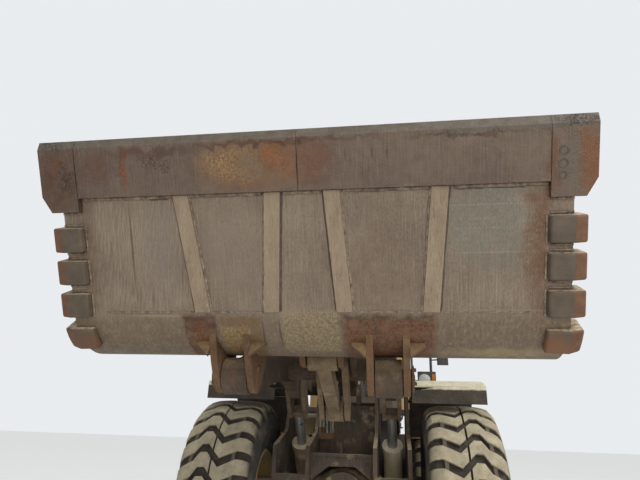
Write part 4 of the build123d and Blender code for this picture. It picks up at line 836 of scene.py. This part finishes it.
def tyre_mesh(middle, sign, seed):
    """Rows along the section, columns round the wheel; each point is its row's section point, moved in
    along the section's normal by the groove's depth and round the axle by the groove's line."""
    section = np.concatenate([half_section[::-1] * (-1, 1, 1), half_section[1:]])
    run = np.concatenate([[0], np.cumsum(np.hypot(*np.diff(section[:, :2], axis=0).T))])
    near_tread = np.abs(section[:, 1] - tread_radius) < 100
    first, last = np.interp((-tread_end, tread_end), section[near_tread, 0], run[near_tread])
    outside = run[(run < first - 4) | (run > last + 4)]
    rows = np.sort(np.concatenate([first + tread_rows * (last - first), outside]))
    across, radius, depth = (np.interp(rows, run, section[:, k]) / 1000 for k in range(3))
    slope = unit(np.gradient(np.stack([across, radius], 1), rows / 1000, axis=0))
    width_share = np.clip((rows - first) / (last - first), 0, 1)
    shift = np.interp(width_share, *groove_line.T)
    columns = (np.arange(pitches)[:, None] + column_table[None, :, 0]).ravel()
    height = np.tile(column_table[:, 1], pitches)[None, :] * np.ones((len(rows), 1))
    worn = np.random.default_rng(seed).uniform(0.95, 1.0, (2, pitches)).repeat(len(column_table), 1)
    height *= np.where(width_share[:, None] < 0.5, worn[0], worn[1])
    on_tie_bar = sum(np.abs(width_share - bar) < tie_half for bar in tie_bars)[:, None]
    height = np.maximum(height, np.where(on_tie_bar, tie_height, 0.0))
    in_cut = ((width_share > cut_from) & (width_share < cut_to))[:, None]
    height = np.where(in_cut, np.minimum(height, cut_height), height)
    sunk = (1 - height) * depth[:, None]
    far_across = across[:, None] + sunk * slope[:, 1:2]
    far_radius = radius[:, None] - sunk * slope[:, 0:1]
    turn = (columns[None, :] + shift[:, None]) * 2 * np.pi / pitches
    points = np.stack([middle.x + far_radius * np.cos(turn), middle.y + sign * far_across,
                       middle.z + far_radius * np.sin(turn)], 2)
    groove = np.where(depth[:, None] > 0.001, 1 - height, 0.0)
    on_tread = ((width_share > 0) & (width_share < 1))[:, None] * np.ones_like(groove)
    return points, groove, on_tread


# %% Four dressed tyres
wheels = [("front_left", 1), ("front_right", -1), ("rear_left", 1), ("rear_right", -1)]
for seed, (wheel, sign) in enumerate(wheels):
    points, groove, tread = tyre_mesh(centre_of(f"{wheel}_tyre"), sign, seed)
    grid = (points.reshape(-1, 3), grid_faces(*points.shape[:2], wrap_rows=True, wrap_columns=True))
    piece = make_piece(f"{wheel}_block_tyre", [grid], tyre_rubber, f"{wheel}_wheel", "tyre_rubber", 30)
    for attribute_name, values in (("groove_share", groove), ("tread_share", tread)):
        attribute = piece.data.attributes.new(attribute_name, "FLOAT", "POINT")
        attribute.data.foreach_set("value", values.ravel().astype(np.float32))
    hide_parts(f"{wheel}_tyre")
    print("  rows and columns", points.shape[:2])

# %% [markdown]
# Each wheel is held by a ring of nuts on its disc, and the final drive's cover by a ring of bolts. A
# nut is a six-sided lathe profile with a chamfer, and a ring of them is one joined mesh.

# %% Wheel nuts and drive covers
nut_profile = np.array([(1.25, 0), (1.25, 0.005), (1, 0.005), (1, 0.020), (0.75, 0.026)])  # sizes, metres
cover_profile = [(0.088, 0.288), (0.088, 0.296), (0.060, 0.302), (0.022, 0.302)]
nut_rings = [(20, 0.287, 0.131, 0.019), (12, 0.206, 0.243, 0.012)]  # count, ring radius, height, size
for wheel, sign in wheels:
    middle, outward = np.array(centre_of(f"{wheel}_tyre")), np.array((0, sign, 0))
    parts = []
    for count, ring_radius, height, size in nut_rings:
        for angle in np.arange(count) * 2 * np.pi / count:
            foot = middle + outward * height + ring_radius * np.array((math.cos(angle), 0, math.sin(angle)))
            parts.append(lathe(nut_profile * (size, 1), 6, foot, outward))
    parts.append(lathe(cover_profile, 32, middle, outward))
    make_piece(f"{wheel}_wheel_nuts", parts, burnt_steel, f"{wheel}_wheel", "black_paint")

# %% [markdown]
# The shrouds are castings with rounded corners. Each is one L-shaped profile, over the floor's edge and
# up the side plate, carried along the floor or round the heel, and a Bevel modifier rounds it.

# %% Corner shrouds
shroud_profile = np.array([  # distance from the middle, depth below the floor
    (1.462, 0.050), (1.602, 0.055), (1.672, 0.030), (1.672, -0.120), (1.601, -0.120), (1.601, 0.001),
    (1.455, 0.001)])
shroud_places, shroud_half, heel_radius = (0.505, 0.285, 0.062), 0.082, 0.42
heel_angles = np.radians(np.linspace(235, 257, 6))[:, None]
parts = []
for sign in (1, -1):
    across, below = sign * shroud_profile[:, 0], shroud_profile[:, 1]
    for u in shroud_places:
        outline = np.stack([np.full(len(across), u - shroud_half), across, -below], 1)
        parts.append(prism(on_bucket(outline), bucket_u * 2 * shroud_half))
    radius = heel_radius + below[None, :]
    along, square = radius * np.cos(heel_angles), heel_radius + radius * np.sin(heel_angles)
    parts.append(capped(on_bucket(np.stack(np.broadcast_arrays(along, across, square), 2))))
shrouds = make_piece("corner_shroud_castings", parts, shroud_casting, "bucket", "blade_steel", bevel_mm=14)
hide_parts("corner_shrouds")

# %% [markdown]
# Weld beads run along both sides of every wear strip, behind the blade, round the shrouds and along
# the seam between floor and heel. A bead is a flattened tube whose radius goes up and down with the
# ripples, about 12 mm apart when drawn, and with a slower waver of the welder's hand.

# %% Weld beads under the bucket
weaver = np.random.default_rng(7)
ripple = 0.012


def bead(start, end, radius_mm, lift_mm=2):
    """A weld from start to end (u, y): radius times 1 + 0.16 sin of the ripple + a slow random waver."""
    start, end = np.array((*start, 0.0)), np.array((*end, 0.0))
    length = np.linalg.norm(end - start)
    share = np.linspace(0, 1, max(int(length / (ripple / 2)), 4))
    slow = np.interp(share, np.linspace(0, 1, 14), weaver.uniform(-0.22, 0.22, 14))
    radius = radius_mm / 1000 * (1 + 0.16 * np.sin(share * length / ripple * 2 * np.pi) + slow)
    points = start + share[:, None] * (end - start)
    side_way = np.interp(share, np.linspace(0, 1, 10), weaver.uniform(-0.0018, 0.0018, 10))
    points[:, 1 if abs(end[0] - start[0]) > abs(end[1] - start[1]) else 0] += side_way
    points[:, 2] -= lift_mm / 1000
    return tube(on_bucket(points), radius, sides=6, upward=bucket_v, flat=0.7)


strip_half = 0.054  # from a strip's middle to its weld
# The last column picks the side whose bead is painted dark as shadow, as if light came from one side.
strip_table = [  # y at the blade, y at the heel, sign of the side with the dark weld
    (-0.770, -0.673, -1), (-0.170, -0.214, 1), (0.200, 0.257, -1), (0.848, 0.790, 1)]
# A row marked dark is painted shadow: the thin bead at 0.757 stands for the shade under the back of the
# blade.
cross_table = [  # u, radius and lift in mm, spans along y, dark or not
    (0.770, 13, 4, ((-1.455, -0.82), (-0.72, -0.24), (-0.10, 0.13), (0.27, 0.78), (0.93, 1.455)), False),
    (0.757, 7, 2, ((-0.985, -0.86), (0.95, 1.10), (1.14, 1.33)), True),
    (0.006, 6, 2, ((-1.36, -0.74), (-0.60, -0.27), (0.32, 0.73), (0.86, 1.37)), False)]
# Beads on the shaded side of each strip, and the second bead behind the blade, take the darker finish:
# painted shadow.
pale, dark = [], []
for y_blade, y_heel, dark_side in strip_table:
    for out in (-strip_half, strip_half):
        laid = bead((0.012, y_heel + out), (0.772, y_blade + out), 9)
        (dark if out * dark_side > 0 else pale).append(laid)
for u, radius_mm, lift_mm, spans, is_dark in cross_table:
    for y_low, y_high in spans:
        (dark if is_dark else pale).append(bead((u, y_low), (u, y_high), radius_mm, lift_mm))
for sign in (1, -1):
    for ends in ((0.60, 0.68), (0.38, 0.41), (0.155, 0.19)):
        pale += [bead((u, sign * 1.47), (u, sign * 1.60), 8, 4) for u in ends]
    for u_low, u_high in ((0.425, 0.585), (0.205, 0.365), (-0.02, 0.142)):
        pale.append(bead((u_low, sign * 1.452), (u_high, sign * 1.452), 8, 4))
make_piece("pale_weld_beads", pale, weld_metal, "bucket", "worn_steel", sharp_deg=80)
make_piece("painted_shadow_weld_beads", dark, darker_weld_and_painted_shadow, "bucket", "worn_steel", sharp_deg=80)

# %% [markdown]
# The end bits are held by countersunk bolts, worn down to a ring and a dark middle, and the blade by
# plugs that only show as a faint ring. Both are shallow lathe profiles that stand 2 mm off the steel.

# %% Worn bolt heads in the blade
blade_bolts = [  # u, y, radius in mm
    (0.951, 1.525, 29), (0.879, 1.522, 29), (0.812, 1.520, 25), (0.951, -1.565, 25), (0.876, -1.560, 25)]
blade_plugs = [
    (0.955, -0.69, 18), (0.955, 0.264, 18), (0.955, 0.721, 18), (0.945, 1.19, 18), (0.955, -1.19, 18)]
blade_bottom = -0.045
ring_profile = np.array([  # radius in the bolt's own, height in metres
    (0.72, -0.001), (1, -0.001), (1, 0.0012), (0.9, 0.0022), (0.78, 0.0022), (0.72, 0.001)])
hollow_profile = np.array([(0.70, -0.001), (0.70, 0.0008), (0.3, 0.0012), (0.1, 0.0012)])


def blade_rings(rows, profile):
    """One shallow profile at every bolt, its radii counted in the bolt's own."""
    return [lathe(profile * (size / 1000, 1), 24, on_bucket((u, y, blade_bottom)), -bucket_v)
            for u, y, size in rows]


for name, rows, profile, steel in (("blade_bolt_rings", blade_bolts, ring_profile, darker_weld_and_painted_shadow),
                                   ("blade_plug_rings", blade_plugs, ring_profile, blade_steel),
                                   ("blade_bolt_hollows", blade_bolts, hollow_profile, blade_steel)):
    make_piece(name, blade_rings(rows, profile), steel, "bucket", "blade_steel")

# %% [markdown]
# Hoses, pipes and handles are round bars that someone has bent. Each is drawn as a few corner points,
# and Chaikin's rule rounds them: every corner is cut at a quarter and three quarters of its two runs,
# three times over. One helper also carries points from the boom's own frame into the row's.

# %% Helpers for bent bars and the boom's frame
def bent(points, rounds=3):
    """Chaikin's rule: a run from a to b becomes 0.75 a + 0.25 b and 0.25 a + 0.75 b, and the ends stay."""
    points = np.asarray(points, float)
    for _ in range(rounds):
        first, second = points[:-1], points[1:]
        cut = np.stack([0.75 * first + 0.25 * second, 0.25 * first + 0.75 * second], 1).reshape(-1, 3)
        points = np.concatenate([points[:1], cut, points[-1:]])
    return points


def bent_bar(points, radius_mm, upward=(0, 0, 1), sides=8, rounds=3):
    """A bar through corner points in millimetres from the hinge."""
    return tube(bent(from_hinge(points), rounds), radius_mm / 1000, sides, upward)


def on_boom(points):
    """Boom millimetres to row metres: pivot + turn of (x, z) by -4.4 degrees about the machine's Y."""
    x, y, z = np.asarray(points, float).T / 1000
    turn = math.radians(-4.4)
    pivot_x, pivot_z = hinge_x + 1.3, 2.15
    return np.stack([pivot_x + x * math.cos(turn) - z * math.sin(turn), y,
                     pivot_z + x * math.sin(turn) + z * math.cos(turn)], -1)


# %% [markdown]
# The hoses at the front frame are rubber over steel wire, 28 mm thick, and stand as stiff loops between
# two fittings, held along their whole run. Their cover is rubber with a fine wrapped pattern, rubbed
# nearly white by dust, and clay lies on it. The pipes along the boom are painted steel tube under
# clamps.

# %% Hydraulic hose cover
hose_cover, shader, place = new_material("wrapped_hose_rubber", roughness=0.75)
tone = clouds(place, 60, [(0.3, "3E3B35"), (0.5, "8A857A"), (0.75, "BDB7A8")])
wave = {"Vector": place, "Scale": rib_scale / 5}
wrap = add_node(place, "TexWave", wave, output="Fac", bands_direction="Z")
rough_and_bumpy(shader, tone, wrap, 0.6)

# %% Hose loops at the middle plate, and pipes on the boom
loops, fittings = [], [block(1612, 1730, -335, -150, 1480, 1550)]
loop_rows = [(1640, -305, -200, 1985), (1674, -275, -172, 1950), (1708, -318, -236, 1915)]  # x, y, y, top
fitting_profile = [(0.021, 0), (0.021, 0.028), (0.017, 0.032), (0.017, 0.06)]
for x, first_y, last_y, top in loop_rows:
    loops.append(bent_bar([(x, first_y, 1560), (x, first_y, top - 70), (x, first_y + 8, top),
                           (x, last_y - 8, top), (x, last_y, top - 70), (x, last_y, 1640),
                           (x, last_y + 10, 1500)], 14, (1, 0.2, 0), sides=10))
    for y, z in ((first_y, 1548), (last_y + 10, 1488)):
        fittings.append(lathe(fitting_profile, 6, from_hinge((x, y, z)), (0, 0, 1)))
make_piece("front_hose_loops", loops, hose_cover, "front_machine", "black_paint", sharp_deg=60)
make_piece("front_hose_fittings", fittings, bracket_paint, "front_machine", "frame_paint", bevel_mm=2)

arm_top = np.array([(300, 247), (600, 323), (900, 400), (1450, 500), (1850, 440), (2270, 300), (2330, 262),
                    (2350, 200)])
arm_middle, clamp_half, clamp_side = 520, 22, 44
pipes, clamps = [], []
for middle in (arm_middle, -arm_middle):
    for side_step in (-20, 20):
        path = [(x, middle + side_step, z + 17) for x, z in arm_top]
        pipes.append(tube(on_boom(bent(path, 2)), 0.011, 10))
    for x in (520, 1040, 1650, 2150):
        start, end = x - clamp_half, x + clamp_half
        z_low, z_high = np.interp((start, end), *arm_top.T)
        outline = [(start, z_low - 4), (end, z_high - 4), (end, z_high + 34), (start, z_low + 34)]
        outline = on_boom([(x, middle - clamp_side, z) for x, z in outline])
        clamps.append(prism(outline, (0, 2 * clamp_side / 1000, 0)))
make_piece("boom_arm_pipes", pipes, frame_paint, "boom", "frame_paint", sharp_deg=60)
make_piece("boom_pipe_clamps", clamps, arm_paint, "boom", "frame_paint", bevel_mm=3)

# %% [markdown]
# Each big pin is kept in place by a round cap and three bolts. The caps are shallow lathe profiles at
# the pins' ends, on the body that holds the pin.

# %% Pin caps
cap_profile = [(0.088, -0.001), (0.090, 0.004), (0.090, 0.012), (0.084, 0.016), (0.030, 0.016),
               (0.026, 0.022), (0.010, 0.022)]
bolt_size, bolt_circle = 0.013, 0.058
bolt_profile = [(bolt_size, -0.002), (bolt_size, bolt_size), (bolt_size * 0.8, bolt_size * 1.25)]


def pin_cap(middle, sign):
    """A cap at a pin's end, facing left or right, and three bolts on a circle round its middle."""
    out, first, second = around((0, sign, 0))
    turns = np.arange(3) * 2 * np.pi / 3 + 0.3
    ring = np.cos(turns)[:, None] * first + np.sin(turns)[:, None] * second
    feet = middle + 0.015 * out + bolt_circle * ring
    return [lathe(cap_profile, 28, middle, out)] + [lathe(bolt_profile, 6, foot, out) for foot in feet]


tower_caps, bucket_caps = [], []
for sign in (1, -1):
    for x, z in ((1300, 2150), (950, 600)):
        tower_caps += pin_cap(from_hinge((x, sign * 715, z)), sign)
    bucket_caps += pin_cap(on_boom([(3070, sign * 670, 0)])[0], sign)
make_piece("tower_pin_caps", tower_caps, bracket_paint, "front_machine", "frame_paint")
make_piece("bucket_pin_caps", bucket_caps, bracket_paint, "bucket", "worn_steel")

# %% [markdown]
# The hood's sides are louvred so that the engine can breathe: a press cuts a slit and pushes the metal
# out into a small roof. Each louvre is a wedge, and two banks stand on each side. Behind the grille is
# the radiator, whose fins are a zigzag plate, and the exhaust has clamp bands and a flap against rain.

# %% Louvres, radiator fins, exhaust bands and handles
louvres, handles = [], []
for sign in (1, -1):
    side = sign * 648
    for x_low, x_high in ((-3520, -3110), (-2990, -2580)):
        for z in range(1760, 2280, 52):
            wedge = [(x_low, sign * y, z + rise) for y, rise in ((649, 0), (667, 2), (667, 7), (649, 36))]
            louvres.append(prism(from_hinge(wedge), ((x_high - x_low) / 1000, 0, 0)))
    for x in (-2140, -3400):
        handles.append(bent_bar([(x - 80, side, 1660), (x - 80, sign * 694, 1660),
                                 (x + 80, sign * 694, 1660), (x + 80, side, 1660)], 9))
    handles.append(bent_bar([(-2020, side, 1800), (-2020, sign * 700, 1800), (-2020, sign * 700, 2250),
                             (-2020, side, 2250)], 12, (1, 0.1, 0)))
make_piece("hood_louvres", louvres, ochre_enamel, "hood", "yellow_paint")
make_piece("hood_handles", handles, black_enamel, "hood", "black_paint")
teeth = np.arange(0, 161)
zigzag = np.stack([np.where(teeth % 2, -3812, -3798), -560 + 7.0 * teeth, np.full(161, 1640)], 1)
fins = prism(from_hinge([*zigzag, (-3770, 560, 1640), (-3770, -560, 1640)]), (0, 0, 0.82))
make_piece("radiator_fins", [fins], engine_iron, "rear_machine", "engine_iron")


def band(inner, outer, half, sides, place):
    """A clamp band round an upright pipe: its radii and half its height, all in mm, at a place."""
    profile = np.array([(inner, -half), (outer, -half), (outer, half), (inner, half)]) / 1000
    return lathe(profile, sides, from_hinge(place), (0, 0, 1))


bands = [band(128, 134, 12, 32, (-2350, 300, z)) for z in (2680, 2950)]
bands.append(band(66, 71, 20, 28, (-2350, 300, 3070)))
flap_profile = [(0.072, 0), (0.072, 0.005), (0.02, 0.007)]
bands.append(lathe(flap_profile, 28, from_hinge((-2352, 300, 3601)), (0.16, 0, 1)))
flap_tail = [(-2440, 290, 3585), (-2400, 290, 3590), (-2400, 290, 3612), (-2440, 290, 3600)]
bands.append(prism(from_hinge(flap_tail), (0, 0.02, 0)))
make_piece("exhaust_bands_and_flap", bands, burnt_steel, "hood", "black_paint")
bands = [band(136, 147, 10, 32, (-2350, -300, z)) for z in (2930, 3060)]
lid_profile = [(0.138, 0), (0.150, -0.004), (0.150, 0.012), (0.10, 0.034), (0.03, 0.040)]
bands.append(lathe(lid_profile, 32, from_hinge((-2350, -300, 3156)), (0, 0, 1)))
make_piece("air_cleaner_bands", bands, black_enamel, "hood", "black_paint")
pull = [(-4008, -520, 1960), (-4050, -520, 1960), (-4050, -520, 2140), (-4008, -520, 2140)]
make_piece("grille_pull", [bent_bar(pull, 9, (0, 1, 0.1))], black_enamel, "rear_grille", "black_paint")

# %% [markdown]
# Lamps are black boxes with a ribbed lens of moulded plastic. The work lamps' lenses are flat boxes with
# rounded corners, and the driving and tail lamps are domed lathe profiles with a black rim.

# %% Lamp lenses
lamp_rows = [  # piece, material, body, slot, bevel in mm
    ("driving_lamp_lenses", clear_lens, "front_machine", "cab_glass", 0),
    ("work_lamp_lenses", clear_lens, "rear_machine", "cab_glass", 3),
    ("driving_lamp_rims", black_enamel, "front_machine", "black_paint", 0),
    ("tail_lamp_rims", black_enamel, "rear_machine", "black_paint", 0),
    ("tail_lamp_lenses", red_lens, "rear_machine", "cab_glass", 0),
    ("front_turn_lenses", amber_lens, "front_machine", "cab_glass", 3),
    ("rear_turn_lenses", amber_lens, "rear_machine", "cab_glass", 0)]
lamps = {name: [] for name, *_ in lamp_rows}
driving_rim = [(0.078, -0.002), (0.084, 0.010), (0.076, 0.012), (0.072, 0.004)]
driving_lens = [(0.073, -0.001), (0.073, 0.004), (0.05, 0.012), (0.02, 0.016)]
tail_rim = [(0.060, -0.002), (0.062, 0.018), (0.056, 0.020), (0.052, 0.006)]
tail_lens = [(0.053, -0.001), (0.053, 0.008), (0.035, 0.016), (0.012, 0.019)]
for sign in (1, -1):
    for x_low, x_high in ((-86, -78), (-1607, -1599)):
        lamps["work_lamp_lenses"].append(block(x_low, x_high, sign * 420 - 78, sign * 420 + 78, 3482, 3558))
    lamps["front_turn_lenses"].append(block(1339, 1351, sign * 1040 - 20, sign * 1040 + 20, 2130, 2270))
    for name, profile in (("driving_lamp_rims", driving_rim), ("driving_lamp_lenses", driving_lens)):
        lamps[name].append(lathe(profile, 32, from_hinge((1340, sign * 930, 2200)), (1, 0, 0)))
    for y, name in ((sign * 760, "tail_lamp_lenses"), (sign * 620, "rear_turn_lenses")):
        for group, profile in (("tail_lamp_rims", tail_rim), (name, tail_lens)):
            lamps[group].append(lathe(profile, 28, from_hinge((-4200, y, 1400)), (-1, 0, 0)))
for name, material, body, slot, bevel_mm in lamp_rows:
    make_piece(name, lamps[name], material, body, slot, bevel_mm=bevel_mm)

# %% [markdown]
# A driver climbs with muddy boots, so steps and platform are dimpled sheet: a press raises a button
# every few centimetres. The cab also gets its wiper, door handle and the mirrors on the handrails.

# %% Step buttons, wiper, door handle and mirrors
small_button = [(0.015, -0.001), (0.012, 0.004), (0.005, 0.005)]
large_button = [(0.018, -0.001), (0.014, 0.004), (0.006, 0.005)]
buttons = [lathe(small_button, 8, from_hinge((x, y, z)), (0, 0, 1))
           for z in (630, 950, 1270, 1590) for x in range(-830, -400, 60) for y in (1195, 1255, 1315)]
for x in range(-1190, -160, 80):
    at_rail_foot = abs(x + 880) < 50 or abs(x + 380) < 50
    for y in (850, 930, 1010) if at_rail_foot else (850, 930, 1010, 1085):
        buttons += [lathe(large_button, 8, from_hinge((x, sign * y, 1899)), (0, 0, 1)) for sign in (1, -1)]
make_piece("step_buttons", buttons, black_enamel, "rear_machine", "black_paint")

wiper_blade = [(-169, 46, 2330), (-150, 46, 2330), (-150, 56, 2330), (-169, 56, 2330)]
wiper = [lathe([(0.026, 0), (0.026, 0.022), (0.016, 0.032)], 16, from_hinge((-152, 150, 2110)), (1, 0, 0)),
         tube(from_hinge([(-128, 150, 2110), (-140, 110, 2360), (-156, 60, 2640)]), 0.007, 8, (1, 0, 0)),
         prism(from_hinge(wiper_blade), (0, 0.02, 0.66))]
make_piece("front_wiper", wiper, black_enamel, "rear_machine", "black_paint")
pull = [(-470, 777, 2140), (-470, 815, 2140), (-470, 815, 2310), (-470, 777, 2310)]
lock_profile = [(0.018, -0.001), (0.018, 0.008), (0.008, 0.012)]
handle = [bent_bar(pull, 10, (1, 0.1, 0), sides=10),
          lathe(lock_profile, 16, from_hinge((-470, 778, 2080)), (0, 1, 0))]
make_piece("door_pull_and_lock", handle, black_enamel, "cab_door", "black_paint")

mirror_glass, shader, place = new_material("silvered_mirror_glass", roughness=0.06, metallic=1.0)
tone = clouds(place, 90, [(0.3, "B9BEC2"), (0.7, "C9CDD0")])
rough_and_bumpy(shader, tone, tone, 0.05, clouds(place, 40, [(0.4, 0.05), (0.75, 0.3)]))
shells, silvered = [], []
for sign in (1, -1):
    head = [(x, sign * y, 2560) for x, y in ((-128, 1215), (-82, 1225), (-82, 1375), (-128, 1385))]
    shells.append(prism(from_hinge(head), (0, 0, 0.30)))
    for z in (2640, 2780):
        arm = [(x, sign * y, z) for x, y in ((-150, 1120), (-140, 1170), (-105, 1225))]
        shells.append(bent_bar(arm, 11, rounds=2))
    silvered.append(block(-131, -127, sign * 1300 - 72, sign * 1300 + 72, 2574, 2846))
make_piece("mirror_shells", shells, black_enamel, "rear_machine", "black_paint", bevel_mm=8)
make_piece("mirror_faces", silvered, mirror_glass, "rear_machine", "chrome_rod")

# %% [markdown]
# The seat's soft parts are foam in a sewn cover. A pad is a closed crowned form: its sides pull in
# between the corners, the seams draw a groove across the top, and piping follows the edge. Under it
# stands a suspension in a folded rubber bellows.

# %% Seat pads, piping and bellows
side_seams, seam_width, seam_depth, pull_in = (-0.62, 0.62), 0.035, 0.13, 0.03


def pad_mesh(middle, axes, size, seams):
    """Grid a, b in -1..1. A half side is ((1 - a^8)(1 - b^8))^0.38 (0.8 + 0.2 (1 - a^2)(1 - b^2)) thick,
    less 0.13 exp(-((b - seam) / 0.035)^2) of it at each seam on top; the lower side is three quarters
    of that, and the outline pulls in by 3 % between the corners."""
    bow = np.sin(np.linspace(-np.pi / 2, np.pi / 2, 33))
    a = np.concatenate([bow, bow[-2:0:-1]])[None, :]
    b = np.sin(np.linspace(-np.pi / 2, np.pi / 2, 37))[:, None]
    upper = np.concatenate([np.ones(33), -np.ones(31)])[None, :]
    rise = np.clip((1 - a ** 8) * (1 - b ** 8), 0, 1) ** 0.38 * (0.8 + 0.2 * (1 - a ** 2) * (1 - b ** 2))
    groove = sum(np.exp(-((b - seam) / seam_width) ** 2) for seam in seams)
    groove = groove + sum(np.exp(-((a - seam) / seam_width) ** 2) for seam in side_seams)
    rise = np.where(upper > 0, rise * (1 - seam_depth * groove), 0.75 * rise)

    def placed(a, b, full, height):
        """Shares a and b of the half sides, pulled in between the corners, and a height, as points."""
        across = a * (full - pull_in * (1 - b ** 2)) * size[0] / 2
        along = b * (full - pull_in * (1 - a ** 2)) * size[1] / 2
        points = np.stack(np.broadcast_arrays(across, along, height * size[2]), -1)
        return points @ np.array(axes, float) + middle

    there, still = np.linspace(-1, 1, 24), np.ones(24)
    border_a = np.concatenate([there, still, -there, -still])
    border_b = np.concatenate([-still, there, still, -there])
    pad = (placed(a, b, 1.0, upper * rise / 2).reshape(-1, 3), grid_faces(37, 64, wrap_columns=True))
    return pad, bent(placed(border_a, border_b, 0.985, 0.30), 1)


flat = ((0, 1, 0), (1, 0, 0), (0, 0, 1))
leaning = ((0, 1, 0), (-0.1280, 0, 0.9918), (0.9918, 0, 0.1280))
cushion, cushion_edge = pad_mesh(
    from_hinge((-1062, 0, 2352)), flat, (0.50, 0.37, 0.125), (0.55, 0.1, -0.35))
backrest, backrest_edge = pad_mesh(
    from_hinge((-1335, 0, 2690)), leaning, (0.48, 0.62, 0.115), (0.5, 0.15, -0.2, -0.55))
for name, mesh_data in (("seat_cushion_pad", cushion), ("seat_back_pad", backrest)):
    pad = make_piece(name, [mesh_data], seat_cloth, "rear_machine", "seat_fabric", sharp_deg=60)
    joiner = bmesh.new()
    joiner.from_mesh(pad.data)
    bmesh.ops.remove_doubles(joiner, verts=joiner.verts, dist=0.0004)
    bmesh.ops.recalc_face_normals(joiner, faces=joiner.faces)
    joiner.to_mesh(pad.data)
    joiner.free()
    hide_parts("seat")
levels = np.linspace(2010, 2290, 19)[:, None]
fold = np.where(np.arange(19) % 2, 0, 16)[:, None]
corner_x, corner_y = np.array([(-1, -1), (1, -1), (1, 1), (-1, 1)]).T[:, None, :]
bellows = np.stack([-1095 + corner_x * (135 - fold), corner_y * (165 - fold), levels + 0 * corner_x], 2)
spine = [(-1392, -150, 2290), (-1300, -150, 2290), (-1378, -150, 2900), (-1402, -150, 2900)]
stand = [capped(from_hinge(bellows)), block(-1260, -940, -170, 170, 1960.4, 2012.4),
         block(-1300, -900, -190, 190, 2286, 2308), prism(from_hinge(spine), (0, 0.30, 0))]
seat_stand = make_piece("seat_suspension", stand, black_enamel, "rear_machine", "black_paint", sharp_deg=30)
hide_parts("seat")
piping = [tube(cushion_edge, 0.006, 6, (0.3, 0.2, 1)), tube(backrest_edge, 0.006, 6, (1, 0.2, 0.1))]
make_piece("seat_piping", piping, black_enamel, "rear_machine", "black_paint", sharp_deg=70)
